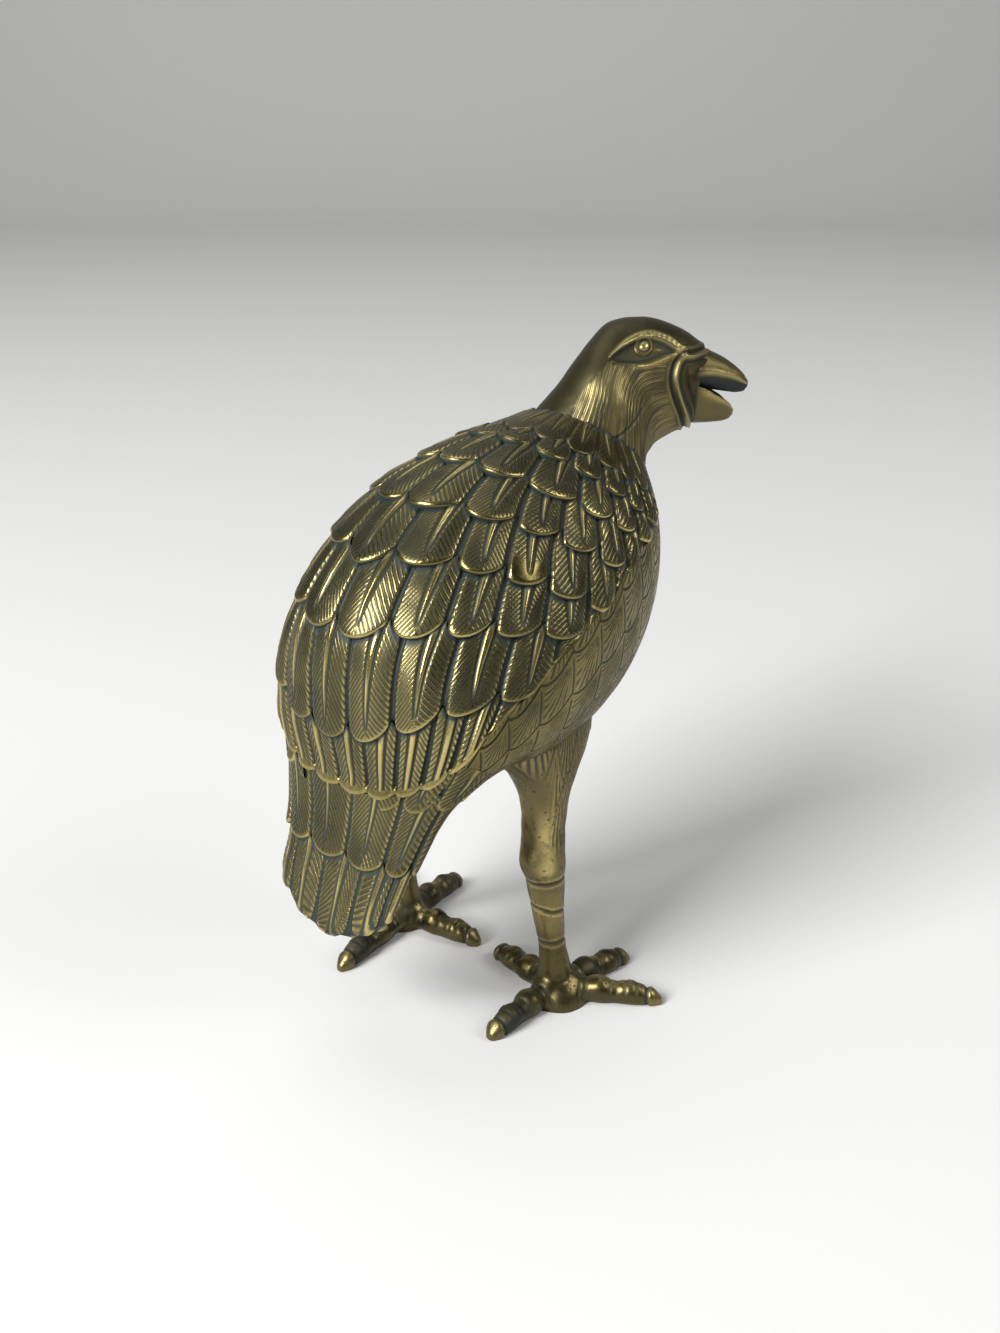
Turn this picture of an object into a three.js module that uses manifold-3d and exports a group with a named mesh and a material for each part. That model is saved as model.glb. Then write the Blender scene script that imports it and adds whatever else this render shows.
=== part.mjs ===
// Quail incense burner: a cast brass bird whose feathered back lifts off over an incense cup.
// Millimetres. +X is where the body faces, +Y its left side, +Z up. The soles stand on z = 0.
import * as THREE from 'three';
import { mergeVertices } from 'three/addons/utils/BufferGeometryUtils.js';
import Module from 'manifold-3d';

const wasm = await Module();
wasm.setup();

// Body stations from the tail tip to the neck: back line and belly line (x, z) and half width
const bodyStations = [
  { back: [-48.9, 30.2], belly: [-47, 29.8], half: 16.5 },
  { back: [-46, 40.4], belly: [-40.8, 38.4], half: 17.6 },
  { back: [-42.6, 51.5], belly: [-34.8, 47.6], half: 19.4 },
  { back: [-41.5, 64.6], belly: [-26.6, 57.6], half: 23.4 },
  { back: [-43.6, 79], belly: [-11.5, 61.4], half: 29 },
  { back: [-41.9, 97.3], belly: [8.3, 57.4], half: 32 },
  { back: [-31, 113.2], belly: [26.3, 60.8], half: 33 },
  { back: [-16.8, 123.4], belly: [41.2, 69.5], half: 31.2 },
  { back: [0.3, 128.7], belly: [51, 84], half: 27 },
  { back: [14.6, 130.9], belly: [54, 100], half: 21.4 },
  { back: [26.3, 132.6], belly: [52.3, 113], half: 15.2 },
];
const neckStation = bodyStations.length - 1;
// Rounding of the tail's end: over how many stations, how full its corners are, width left at the tip
const tailTip = { length: 1, fullness: 0.65, least: 0.12 };

// Shell and seats
const bodyWall = 2.4;
const seatGap = 0.3; // clearance where one piece seats on another
const bowlCavityStart = 1.95; // station where the hollow of the bowl begins, above the solid tail
const coverCavityStart = 1.35; // the cover is hollow down to its rear lip
const cavityPastNeck = 4; // how far the hollow runs out through the neck joint
const cupSeat = { level: 65, radius: 11.5, thickness: 6 }; // flat boss cast inside the belly

// Rim where the cover meets the body, seen from the side (x, z)
const rimLine = [
  [-60, 57], [-52, 58.5], [-46, 60.3], [-42, 63.2], [-38, 68], [-32, 74.6], [-22, 83.2],
  [-9, 90.4], [3, 96], [15, 101.2], [27, 105.6], [40, 109.5],
];
const rimFront = rimLine[rimLine.length - 1][0]; // the cover ends here beside the neck

// Opening in the cover for the neck, seen from above: a half ellipse open to the front
const neckOpening = { centreX: 40, reachBack: 14.2, halfWidth: 15.6, bottom: 80 };

// Locating flange inside the cover
const flange = {
  thickness: 1.4, sideGap: 0.6, above: 6, below: 3, frontEnd: 20, outerStart: 2.25, innerStart: 2.05,
};

// Feathers on the cover: number around it, angle one takes at the spine and at the flank, and facets
const flankDegrees = 78;
const rad = THREE.MathUtils.degToRad;
const coverFeathers = { around: 20, spineWidth: rad(22), flankWidth: rad(14), columns: 4 };
const drift = { from: rad(25), to: rad(65) }; // between these angles a row's feathers drift
// Rows from the tail to the neck, in stations along the body: where a row's joints lie on the spine,
// how far they climb towards the flank and how soon; lean of the feathers towards the spine, their
// drift towards it at the flank in feathers, lift of the tips
const coverRows = [
  { joint: 2.3, climb: 0.3, curve: 1, lean: 0.1, drift: 0, lift: 1.2 },
  { joint: 4, climb: 1.55, curve: 1, lean: 0.12, drift: 0, lift: 1.2 },
  { joint: 5.23, climb: 1.17, curve: 0.85, lean: 0.14, drift: 0.5, lift: 1.2 },
  { joint: 6.02, climb: 0.9, curve: 0.6, lean: 0.2, drift: 0.45, lift: 1.2 },
  { joint: 6.87, climb: 0.72, curve: 0.6, lean: 0.22, drift: 0.3, lift: 1.1 },
  { joint: 7.78, climb: 0.42, curve: 1, lean: 0.18, drift: -0.2, lift: 1 },
  { joint: 8.6, climb: 0.1, curve: 1, lean: 0.15, drift: 0, lift: 0.8 },
  { joint: 9.1, climb: 0.15, curve: 1, lean: 0.1, drift: 0, lift: 0.6 },
];
const tailFeathers = { around: 10, turn: rad(9) };
const tailRows = [
  { joint: 0.12, climb: 0, curve: 1, lean: 0, drift: 0, lift: 0.4 },
  { joint: 1.75, climb: 0.2, curve: 1, lean: 0, drift: 0, lift: 0.8 },
];
// Rings along a feather: share of its length from the tip, share of its lift and of its lean there
const coverSteps = [[0, 1, 0], [0.4, 0.75, 1], [1, 0.15, 0]];
const tailSteps = [
  [0, 1, 0], [0.1, 1, 0], [0.25, 0.95, 0], [0.4, 0.9, 0], [0.6, 0.8, 0], [1, 0.15, 0],
];
const scallop = 0.23; // how far a feather's tip hangs past its joints, in stations
const rootLift = 0.1; // height of a feather where the next row covers it
const jointDrop = 0.6; // share of its lift that a feather loses from its shaft to its joints

// Head and neck stations: back point and throat point (x, y, z), half width, turn of the section
const headStations = [
  { back: [27.2, 0, 131.2], throat: [52.3, 0, 113], half: 14.8, turn: 0 },
  { back: [31.9, -0.6, 136.6], throat: [53, -2.4, 116.6], half: 13.6, turn: -12 },
  { back: [36.5, -0.4, 142], throat: [54.6, -4.9, 119], half: 12.6, turn: -24 },
  { back: [42.5, 0.4, 146.4], throat: [56.6, -6.3, 120.8], half: 12, turn: -33 },
  { back: [49.5, 0.7, 149.6], throat: [59.7, -7.2, 121.8], half: 11.9, turn: -40 },
  { back: [57.5, -3.5, 150], throat: [62.5, -8.2, 122.8], half: 11.4, turn: -42 },
  { back: [63.5, -8.8, 147.4], throat: [65.4, -10.5, 124.2], half: 9.8, turn: -42 },
  { back: [68, -12.9, 143.2], throat: [66, -11.2, 126.6], half: 7, turn: -42 },
];
const headCentre = new THREE.Vector3(57, -3, 137);
const headTurn = rad(-42);

// Beak in the head's own plane: forward from the head's centre and up
const upperBeak = [
  { at: [8.5, 1.6], half: 6.8, high: 5.6 },
  { at: [14, 2.2], half: 5.5, high: 4.1 },
  { at: [18.5, 1.1], half: 4.4, high: 3.1 },
  { at: [22.5, -0.9], half: 3.1, high: 2.4 },
  { at: [25, -3.2], half: 1.6, high: 1.5 },
];
const lowerBeak = [
  { at: [7.5, -8], half: 6, high: 4.8 },
  { at: [12, -7.9], half: 4.9, high: 4.1 },
  { at: [16.5, -8.8], half: 3.9, high: 3.1 },
  { at: [20.8, -9.9], half: 2, high: 1.5 },
];
const smokeWay = { throatRadius: 6.5, mouthRadius: 1.5 };

// Path of the hollow from the breast up the neck, and of the way from it out of the mouth
const throatPath = [[31, 0, 104], [37, 0, 116], [42.5, -0.5, 126], [50, -2, 133], [57, -4, 136]];
const mouthPath = [[-2, -2], [5, -2.8], [12, -3.9], [20, -5.2]]; // ahead and up, like the beak

// Plug under the neck, brazed into the breast
const plug = { depth: 9, overlap: 1, start: 8.2 };

// Legs: centre line of the right leg (x, y, z) with the section's half sizes fore-and-aft and across
const legStations = [
  { at: [2, -18, 77], long: 11, wide: 7 },
  { at: [3.2, -19.2, 69], long: 12, wide: 7.6 },
  { at: [2.1, -20.6, 61], long: 9.5, wide: 7 },
  { at: [0.2, -21.9, 52.5], long: 6.1, wide: 5.5 },
  { at: [-1.2, -22.8, 44], long: 5.1, wide: 4.9 },
  { at: [-1.8, -23.4, 37.5], long: 5.5, wide: 4.9 },
  { at: [-1.4, -23.8, 31.5], long: 4.5, wide: 4.4 },
  { at: [-0.8, -24.2, 23], long: 3.8, wide: 3.7 },
  { at: [0.2, -24.6, 15], long: 3.2, wide: 3.2 },
  { at: [1, -25, 8], long: 4, wide: 3.8 },
  { at: [1.3, -25, 3], long: 5.2, wide: 4.8 },
];
const footCentre = new THREE.Vector3(1, -25, 0);
// Toes: heading in degrees from straight ahead (clockwise seen from above) and length with claw
const toes = [
  { heading: 8, length: 24 },
  { heading: 56, length: 25.5 },
  { heading: -80, length: 22.5 },
];
// Hind toes: the left one is longer and points inwards
const rightHindToe = { heading: 178, length: 24 };
const leftHindToe = { heading: 190, length: 28 };
// Toe profile: share of the length, half thickness and height of the centre line
const toeProfile = [
  [-0.12, 3.2, 3.3], [0.12, 3.8, 3.7], [0.26, 2.9, 2.9], [0.42, 3.4, 3.1], [0.56, 2.7, 2.6],
  [0.7, 3, 2.8], [0.8, 2.3, 2.2], [0.9, 2, 1.8], [1, 0.7, 0.8],
];
const footPad = { radius: 6.8, height: 6.5, outwards: 1.4, sides: 20 }; // ball of the foot
const soleDepth = 0.3; // how much of each toe is filed away to stand flat
const legTrim = { start: 2, end: 9, steps: 14 }; // stretch of the belly that the thighs are fitted to

// Tenon that holds each leg in the belly, and the cross pin through it
const tenon = { radius: 3.4, bottom: 55, top: 70.4, x: 0.8, y: -20.6 };
const tenonHoleBottom = 40;
const legPin = { radius: 1.1, length: 12, belowTop: 2.4, holeLength: 16 };
const legPinHeight = tenon.top - legPin.belowTop;

// Incense cup: profile from the foot to the rim (radius, height above its seat)
const cupCentreX = -2;
const cupWall = 1.2;
const cupFloor = 2.2; // height of its floor over its foot
const cupGap = 0.1; // clearance under its foot
const cupProfile = [
  [9.5, 0], [10, cupFloor], [11.5, 5], [14.2, 9.5], [17.4, 15], [20, 21], [21.5, 26],
];

// Size of the blocks that cut the pieces: larger than the burner
const cutSize = 300;

// Facets
const bodyColumns = coverFeathers.around * coverFeathers.columns;
const plainBody = { start: 3.2, steps: 11 }; // smooth stretch of the bowl from the tail to the neck
const innerColumns = 40;
const innerSteps = 14;
const headSteps = 20;
const headColumns = 24;
const legColumns = 16;
const stepsPerLegStation = 2;
const toeColumns = 8;
const beakColumns = 16;
const roundSides = 32;
const smallRoundSides = 20;
const tubeSides = 14;
const pinSides = 12;

const brass = { color: 0x8f7f4e, roughness: 0.42, metalness: 1 };
const darkBrass = { color: 0x5d5636, roughness: 0.5, metalness: 1 };
const innerBrass = { color: 0x9a7a45, roughness: 0.55, metalness: 1 };

// Turns a closed geometry into a solid that can be cut and joined
function solidOf(geometry) {
  const bare = geometry.clone();
  bare.deleteAttribute('normal');
  bare.deleteAttribute('uv');
  const merged = mergeVertices(bare, 1e-4);
  return new wasm.Manifold(new wasm.Mesh({
    numProp: 3,
    vertProperties: new Float32Array(merged.attributes.position.array),
    triVerts: new Uint32Array(merged.index.array),
  }));
}

function geometryOf(solid) {
  const mesh = solid.getMesh();
  const geometry = new THREE.BufferGeometry();
  const numbers = new Float32Array(mesh.vertProperties);
  geometry.setAttribute('position', new THREE.BufferAttribute(numbers, 3));
  geometry.setIndex(new THREE.BufferAttribute(new Uint32Array(mesh.triVerts), 1));
  geometry.computeVertexNormals();
  return geometry;
}

function pieceOf(name, solid, finish) {
  const piece = new THREE.Mesh(geometryOf(solid), new THREE.MeshStandardMaterial(finish));
  piece.name = name;
  return piece;
}

// Closed skin over a row of rings, each a list of points; both ends are closed with fans
function skinOf(rings) {
  const count = rings[0].length;
  const points = rings.flat();
  const faces = [];
  for (let ring = 0; ring + 1 < rings.length; ring += 1) {
    for (let side = 0; side < count; side += 1) {
      const a = ring * count + side;
      const b = ring * count + ((side + 1) % count);
      faces.push(a, b, b + count, a, b + count, a + count);
    }
  }
  for (const [ring, flip] of [[0, true], [rings.length - 1, false]]) {
    const middle = new THREE.Vector3();
    rings[ring].forEach((point) => middle.add(point));
    points.push(middle.divideScalar(count));
    for (let side = 0; side < count; side += 1) {
      const a = ring * count + side;
      const b = ring * count + ((side + 1) % count);
      faces.push(...(flip ? [b, a, points.length - 1] : [a, b, points.length - 1]));
    }
  }
  const geometry = new THREE.BufferGeometry();
  const numbers = points.flatMap((p) => [p.x, p.y, p.z]);
  geometry.setAttribute('position', new THREE.Float32BufferAttribute(numbers, 3));
  geometry.setIndex(faces);
  const solid = solidOf(geometry);
  if (solid.volume() > 0) return solid;
  for (let face = 0; face < faces.length; face += 3) {
    [faces[face], faces[face + 1]] = [faces[face + 1], faces[face]];
  }
  geometry.setIndex(faces);
  return solidOf(geometry);
}

function smoothLine(points) {
  const places = points.map((p) => new THREE.Vector3(...p));
  return new THREE.CatmullRomCurve3(places, false, 'catmullrom', 0.5);
}

// Point of a smooth line at a station number, which may be fractional
function atStation(line, station) {
  const last = line.points.length - 1;
  return line.getPoint(THREE.MathUtils.clamp(station / last, 0, 1));
}

const backLine = smoothLine(bodyStations.map((s) => [s.back[0], 0, s.back[1]]));
const bellyLine = smoothLine(bodyStations.map((s) => [s.belly[0], 0, s.belly[1]]));
const widthLine = smoothLine(bodyStations.map((s) => [s.half, 0, 0]));

// Share of the width left towards the tail's rounded tip
function tailRounding(station) {
  const past = 1 - Math.min(Math.max(station, 0) / tailTip.length, 1);
  return Math.max((1 - past ** 2) ** tailTip.fullness, tailTip.least);
}

// Point on the bare body: angle 0 is the spine, positive angles lie on the left
function bareBody(station, angle) {
  const back = atStation(backLine, station);
  const belly = atStation(bellyLine, station);
  const half = atStation(widthLine, station).x * tailRounding(station);
  const point = back.clone().add(belly).multiplyScalar(0.5);
  point.addScaledVector(back.sub(belly), Math.cos(angle) / 2);
  point.y += half * Math.sin(angle);
  return point;
}

const probe = 0.02;

// Point at a height over the bare body, along its outward direction
function bodyPoint(station, angle, height = 0) {
  const point = bareBody(station, angle);
  const from = Math.min(Math.max(station, probe), neckStation - probe);
  const along = bareBody(from + probe, angle).sub(bareBody(from - probe, angle));
  const across = bareBody(from, angle + probe).sub(bareBody(from, angle - probe));
  return point.addScaledVector(along.cross(across).normalize(), height);
}

function bodyRing(station, height, columns) {
  const ring = [];
  for (let column = 0; column < columns; column += 1) {
    ring.push(bodyPoint(station, (2 * Math.PI * column) / columns - Math.PI, height));
  }
  return ring;
}

// Number of feathers from the spine out to an angle; past the flank the rest share what is left
function feathersTo(angle) {
  const { around, spineWidth, flankWidth } = coverFeathers;
  const away = Math.abs(angle);
  const level = Math.min(away, Math.PI / 2);
  const narrowing = (1 / flankWidth - 1 / spineWidth) / (3 * rad(flankDegrees) ** 2);
  const near = level / spineWidth + narrowing * level ** 3;
  const rest = (around / 2 - near) * (away - level) / (Math.PI / 2);
  return Math.sign(angle) * (near + rest);
}

// Angle that lies a number of feathers from the spine
function angleOfFeather(number) {
  let low = 0;
  let high = Math.PI;
  for (let halving = 0; halving < 30; halving += 1) {
    const guess = (low + high) / 2;
    if (feathersTo(guess) < Math.abs(number)) low = guess;
    else high = guess;
  }
  return Math.sign(number) * high;
}

// Feathers of the cover and of the tail: number along a row, and the angle of each ring's columns
const coverLayout = {
  number: (row, angle) => feathersTo(angle)
    + Math.sign(angle) * row.drift * THREE.MathUtils.smoothstep(Math.abs(angle), drift.from, drift.to),
  angle: (column) => angleOfFeather(column / coverFeathers.columns - coverFeathers.around / 2),
};
const tailLayout = {
  number: (row, angle) => ((angle - tailFeathers.turn) * tailFeathers.around) / (2 * Math.PI),
  angle: (column) => (2 * Math.PI * column) / bodyColumns - Math.PI,
};

// Place across its own feather, from -0.5 to 0.5; each row is set over by half a feather
function featherAcross(layout, row, rowIndex, angle) {
  const number = layout.number(row, angle) + ((rowIndex + 1) % 2) / 2;
  return number - Math.round(number);
}

// Station of a feather row's edge at an angle, scalloped so that each tip hangs down
function rowEdge(layout, row, rowIndex, angle) {
  const outwards = (1 - Math.cos(angle)) / (1 - Math.cos(rad(flankDegrees)));
  const across = featherAcross(layout, row, rowIndex, angle);
  return row.joint + row.climb * outwards ** row.curve - scallop * (1 - (2 * across) ** 2);
}

// Height of a feather: low at its joints, raised to a ridge at its shaft
function featherLift(layout, row, rowIndex, angle, share) {
  const across = Math.abs(featherAcross(layout, row, rowIndex, angle)) * 2;
  const crown = 1 - jointDrop * across ** 2;
  return rootLift + row.lift * share * crown;
}

// Rings of overlapping feather rows: each row starts low under the next one and ends at a raised tip
function featherRings(layout, rows, lastStation, steps) {
  const rings = [];
  rows.forEach((row, rowIndex) => {
    for (const [along, share, leaning] of steps) {
      const ring = [];
      for (let column = 0; column < bodyColumns; column += 1) {
        const angle = layout.angle(column);
        const low = rowEdge(layout, row, rowIndex, angle);
        const next = rows[rowIndex + 1];
        const high = next ? rowEdge(layout, next, rowIndex + 1, angle) : lastStation;
        const station = Math.min(low + (high - low) * along, lastStation);
        const leaned = angle * (1 - row.lean * leaning * (station - low));
        const lift = featherLift(layout, row, rowIndex, angle, share);
        ring.push(bodyPoint(Math.max(station, 0), leaned, lift));
      }
      rings.push(ring);
    }
  });
  return rings;
}

// Solid above the rim line, moved by an amount downwards and forwards
function aboveRim(shift) {
  const outline = new THREE.Shape();
  const [rearX, rearZ] = rimLine[0];
  outline.moveTo(rearX, rearZ);
  outline.splineThru(rimLine.slice(1).map((p) => new THREE.Vector2(...p)));
  outline.lineTo(rimFront, rearZ + cutSize);
  outline.lineTo(rearX, rearZ + cutSize);
  const block = new THREE.ExtrudeGeometry(outline, {
    depth: cutSize, bevelEnabled: false, curveSegments: 3,
  });
  block.rotateX(Math.PI / 2);
  block.translate(Math.max(shift, 0), cutSize / 2, -shift);
  return solidOf(block);
}

// Upright solid with the outline of the neck opening, grown or shrunk by a margin
function neckBlock(margin) {
  const outline = new THREE.Shape();
  const { centreX, reachBack, halfWidth, bottom } = neckOpening;
  const side = halfWidth + margin;
  outline.moveTo(centreX + cutSize, -side);
  outline.lineTo(centreX + cutSize, side);
  outline.lineTo(centreX, side);
  outline.absellipse(centreX, 0, reachBack + margin, side, Math.PI / 2, 1.5 * Math.PI, false);
  const block = new THREE.ExtrudeGeometry(outline, {
    depth: cutSize, bevelEnabled: false, curveSegments: smallRoundSides,
  });
  block.translate(0, 0, bottom);
  return solidOf(block);
}

// Half space below or behind a plane across an axis, as a large block
function halfSpace(axis, limit) {
  const block = new THREE.BoxGeometry(cutSize, cutSize, cutSize);
  block.translate(...axis.clone().multiplyScalar(limit - cutSize / 2).toArray());
  return solidOf(block);
}

// Half space past the joint between breast and neck, as a turned block
const jointFront = new THREE.Vector3(...headStations[0].throat);
const jointBack = new THREE.Vector3(...headStations[0].back);
const jointSlope = Math.atan2(jointBack.z - jointFront.z, jointFront.x - jointBack.x);
function pastNeckJoint(shift) {
  const block = new THREE.BoxGeometry(cutSize, cutSize, cutSize);
  block.translate(0, 0, cutSize / 2 + shift);
  block.rotateY(jointSlope);
  block.translate(jointFront.x, 0, jointFront.z);
  return solidOf(block);
}

function plainRings(start, end, steps, height, columns) {
  const rings = [];
  for (let step = 0; step <= steps; step += 1) {
    rings.push(bodyRing(start + ((end - start) * step) / steps, height, columns));
  }
  return rings;
}

// Body drawn in by an amount, from a station out through the neck joint
function innerBody(inset, start) {
  const rings = plainRings(start, neckStation, innerSteps, -inset, innerColumns);
  const out = new THREE.Vector3(Math.sin(jointSlope), 0, Math.cos(jointSlope));
  const lastRing = rings[rings.length - 1];
  rings.push(lastRing.map((point) => point.clone().addScaledVector(out, cavityPastNeck)));
  return skinOf(rings);
}

// Legs are drawn on the right; side -1 mirrors them to the left
function onSide(point, side) {
  return point.setY(point.y * side);
}

function legSolid(side) {
  const rings = [];
  const line = smoothLine(legStations.map((s) => s.at));
  const sizes = smoothLine(legStations.map((s) => [s.long, s.wide, 0]));
  const steps = (legStations.length - 1) * stepsPerLegStation;
  for (let step = 0; step <= steps; step += 1) {
    const at = atStation(line, step / stepsPerLegStation);
    const size = atStation(sizes, step / stepsPerLegStation);
    const ring = [];
    for (let column = 0; column < legColumns; column += 1) {
      const angle = (2 * Math.PI * column) / legColumns;
      const offset = new THREE.Vector3(size.x * Math.cos(angle), size.y * Math.sin(angle), 0);
      ring.push(onSide(at.clone().add(offset), side));
    }
    rings.push(ring);
  }
  return skinOf(rings);
}

function toeSolid(toe, side) {
  const heading = rad(toe.heading);
  const ahead = new THREE.Vector3(Math.cos(heading), -Math.sin(heading), 0);
  const across = new THREE.Vector3(-ahead.y, ahead.x, 0);
  const rings = toeProfile.map(([share, half, height]) => {
    const ring = [];
    for (let column = 0; column < toeColumns; column += 1) {
      const angle = (2 * Math.PI * (column + 0.5)) / toeColumns;
      const point = footCentre.clone().addScaledVector(ahead, share * toe.length);
      point.addScaledVector(across, half * Math.cos(angle));
      point.z = height - soleDepth + half * Math.sin(angle);
      ring.push(onSide(point, side));
    }
    return ring;
  });
  return skinOf(rings);
}

function padSolid(side) {
  const { radius, height, outwards, sides } = footPad;
  const dome = new THREE.SphereGeometry(radius, sides, sides / 2);
  dome.rotateX(Math.PI / 2);
  dome.scale(1, 1, height / radius);
  dome.translate(footCentre.x, (footCentre.y - outwards) * side, 0);
  return solidOf(dome);
}

function upright(radius, low, high, x, y, sides = smallRoundSides) {
  const rod = new THREE.CylinderGeometry(radius, radius, high - low, sides);
  rod.rotateX(Math.PI / 2);
  rod.translate(x, y, (low + high) / 2);
  return solidOf(rod);
}

function crossPin(radius, length, side) {
  const rod = new THREE.CylinderGeometry(radius, radius, length, pinSides);
  rod.rotateZ(Math.PI / 2);
  rod.translate(tenon.x, tenon.y * side, legPinHeight);
  return solidOf(rod);
}

// Section of the head: an oval between the back point and the throat point, turned with the neck
const headBack = smoothLine(headStations.map((s) => s.back));
const headThroat = smoothLine(headStations.map((s) => s.throat));
const headSizes = smoothLine(headStations.map((s) => [s.half, rad(s.turn), 0]));
function headRing(station) {
  const back = atStation(headBack, station);
  const throat = atStation(headThroat, station);
  const size = atStation(headSizes, station);
  const left = new THREE.Vector3(-Math.sin(size.y), Math.cos(size.y), 0);
  const middle = back.clone().add(throat).multiplyScalar(0.5);
  const reach = back.clone().sub(throat).multiplyScalar(0.5);
  const ring = [];
  for (let column = 0; column < headColumns; column += 1) {
    const angle = (2 * Math.PI * column) / headColumns;
    const point = middle.clone().addScaledVector(reach, Math.cos(angle));
    ring.push(point.addScaledVector(left, size.x * Math.sin(angle)));
  }
  return ring;
}

const headAhead = new THREE.Vector3(Math.cos(headTurn), Math.sin(headTurn), 0);
const headLeft = new THREE.Vector3(-Math.sin(headTurn), Math.cos(headTurn), 0);
function headPlane(ahead, up) {
  return headCentre.clone().addScaledVector(headAhead, ahead).add(new THREE.Vector3(0, 0, up));
}

function beakSolid(profile) {
  const rings = profile.map(({ at, half, high }) => {
    const ring = [];
    for (let column = 0; column < beakColumns; column += 1) {
      const angle = (2 * Math.PI * column) / beakColumns;
      const point = headPlane(at[0], at[1] + high * Math.sin(angle));
      ring.push(point.addScaledVector(headLeft, half * Math.cos(angle)));
    }
    return ring;
  });
  return skinOf(rings);
}

function tube(points, radius, steps) {
  const path = new THREE.CatmullRomCurve3(points, false, 'catmullrom', 0.5);
  const round = new THREE.Shape().absarc(0, 0, radius, 0, 2 * Math.PI, false);
  return solidOf(new THREE.ExtrudeGeometry(round, {
    extrudePath: path, steps, bevelEnabled: false, curveSegments: tubeSides,
  }));
}

// Bowl: tail, belly and breast in one casting, open at the rim and towards the neck
const tailTopStation = 3;
const bowlSkin = skinOf([
  ...featherRings(tailLayout, tailRows, tailTopStation, tailSteps),
  ...plainRings(plainBody.start, neckStation, plainBody.steps, 0, bodyColumns),
]);
const seatBottom = cupSeat.level - cupSeat.thickness;
const seatBoss = upright(cupSeat.radius, seatBottom, cupSeat.level, cupCentreX, 0, roundSides)
  .intersect(bowlSkin);
const bowl = bowlSkin
  .subtract(innerBody(bodyWall, bowlCavityStart))
  .add(seatBoss)
  .subtract(aboveRim(seatGap))
  .subtract(pastNeckJoint(-seatGap))
  .subtract(tenonHole(1))
  .subtract(tenonHole(-1));

function tenonHole(side) {
  const { radius, top, x, y } = tenon;
  return upright(radius + seatGap, tenonHoleBottom, top + seatGap, x, y * side);
}

// Cover: feathered back and wings
const coverSkin = skinOf(featherRings(coverLayout, coverRows, neckStation, coverSteps));
const cover = coverSkin
  .subtract(innerBody(bodyWall, coverCavityStart))
  .intersect(aboveRim(0))
  .subtract(neckBlock(0));

// Locating flange: a strip brazed inside the cover that drops inside the bowl
const flangeOuter = innerBody(bodyWall + flange.sideGap, flange.outerStart);
const flangeInner = innerBody(bodyWall + flange.sideGap + flange.thickness, flange.innerStart);
const flangeBand = flangeOuter
  .subtract(flangeInner)
  .intersect(aboveRim(flange.below))
  .subtract(aboveRim(-flange.above))
  .intersect(halfSpace(new THREE.Vector3(1, 0, 0), flange.frontEnd));

// Neck and head: hollow up to the throat, with a plug brazed into the breast
const headRings = [];
for (let step = 0; step <= headSteps; step += 1) {
  headRings.push(headRing(((headStations.length - 1) * step) / headSteps));
}
const neckPlug = innerBody(bodyWall + seatGap, plug.start)
  .intersect(neckBlock(-2 * seatGap))
  .intersect(pastNeckJoint(-plug.depth))
  .subtract(pastNeckJoint(plug.overlap));
const throat = throatPath.map((p) => new THREE.Vector3(...p));
const mouth = mouthPath.map(([ahead, up]) => headPlane(ahead, up));
const neckAndHead = skinOf(headRings)
  .add(neckPlug)
  .add(beakSolid(upperBeak))
  .add(beakSolid(lowerBeak))
  .subtract(tube(throat, smokeWay.throatRadius, 8))
  .subtract(tube(mouth, smokeWay.mouthRadius, 4));

// Legs with feet, tenons and holes for the cross pins
const ground = halfSpace(new THREE.Vector3(0, 0, 1), 0);
const belly = skinOf(plainRings(legTrim.start, legTrim.end, legTrim.steps, seatGap, bodyColumns));
function wholeLeg(side) {
  let leg = legSolid(side)
    .subtract(belly)
    .add(upright(tenon.radius, tenon.bottom, tenon.top, tenon.x, tenon.y * side));
  for (const toe of [...toes, side === 1 ? rightHindToe : leftHindToe]) {
    leg = leg.add(toeSolid(toe, side));
  }
  return leg
    .add(padSolid(side))
    .subtract(ground)
    .subtract(crossPin(legPin.radius + seatGap, legPin.holeLength, side));
}

// Incense cup: turned bowl standing on the flat seat
const cupShape = cupProfile.map(([radius, height]) => new THREE.Vector2(radius, height));
const cupInside = cupProfile.slice(1).reverse()
  .map(([radius, height]) => new THREE.Vector2(radius - cupWall, height));
const cupLathe = new THREE.LatheGeometry([
  new THREE.Vector2(0, 0), ...cupShape, ...cupInside, new THREE.Vector2(0, cupFloor),
], roundSides);
cupLathe.rotateX(Math.PI / 2);
cupLathe.translate(cupCentreX, 0, cupSeat.level + cupGap);

const bird = new THREE.Group();
bird.add(
  pieceOf('bowl_body', bowl, brass),
  pieceOf('cover', cover, brass),
  pieceOf('cover_locating_flange', flangeBand, innerBrass),
  pieceOf('neck_and_head', neckAndHead, brass),
  pieceOf('right_leg', wholeLeg(1), darkBrass),
  pieceOf('left_leg', wholeLeg(-1), darkBrass),
  pieceOf('right_leg_pin', crossPin(legPin.radius, legPin.length, 1), innerBrass),
  pieceOf('left_leg_pin', crossPin(legPin.radius, legPin.length, -1), innerBrass),
  pieceOf('incense_cup', solidOf(cupLathe), innerBrass),
);

// The whole burner stands with the middle of its footprint box on the origin
const burner = new THREE.Group();
burner.add(bird);
const extent = new THREE.Box3().setFromObject(bird);
const middle = extent.getCenter(new THREE.Vector3());
bird.position.set(-middle.x, -middle.y, 0);

export default burner;
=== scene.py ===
import math

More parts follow.
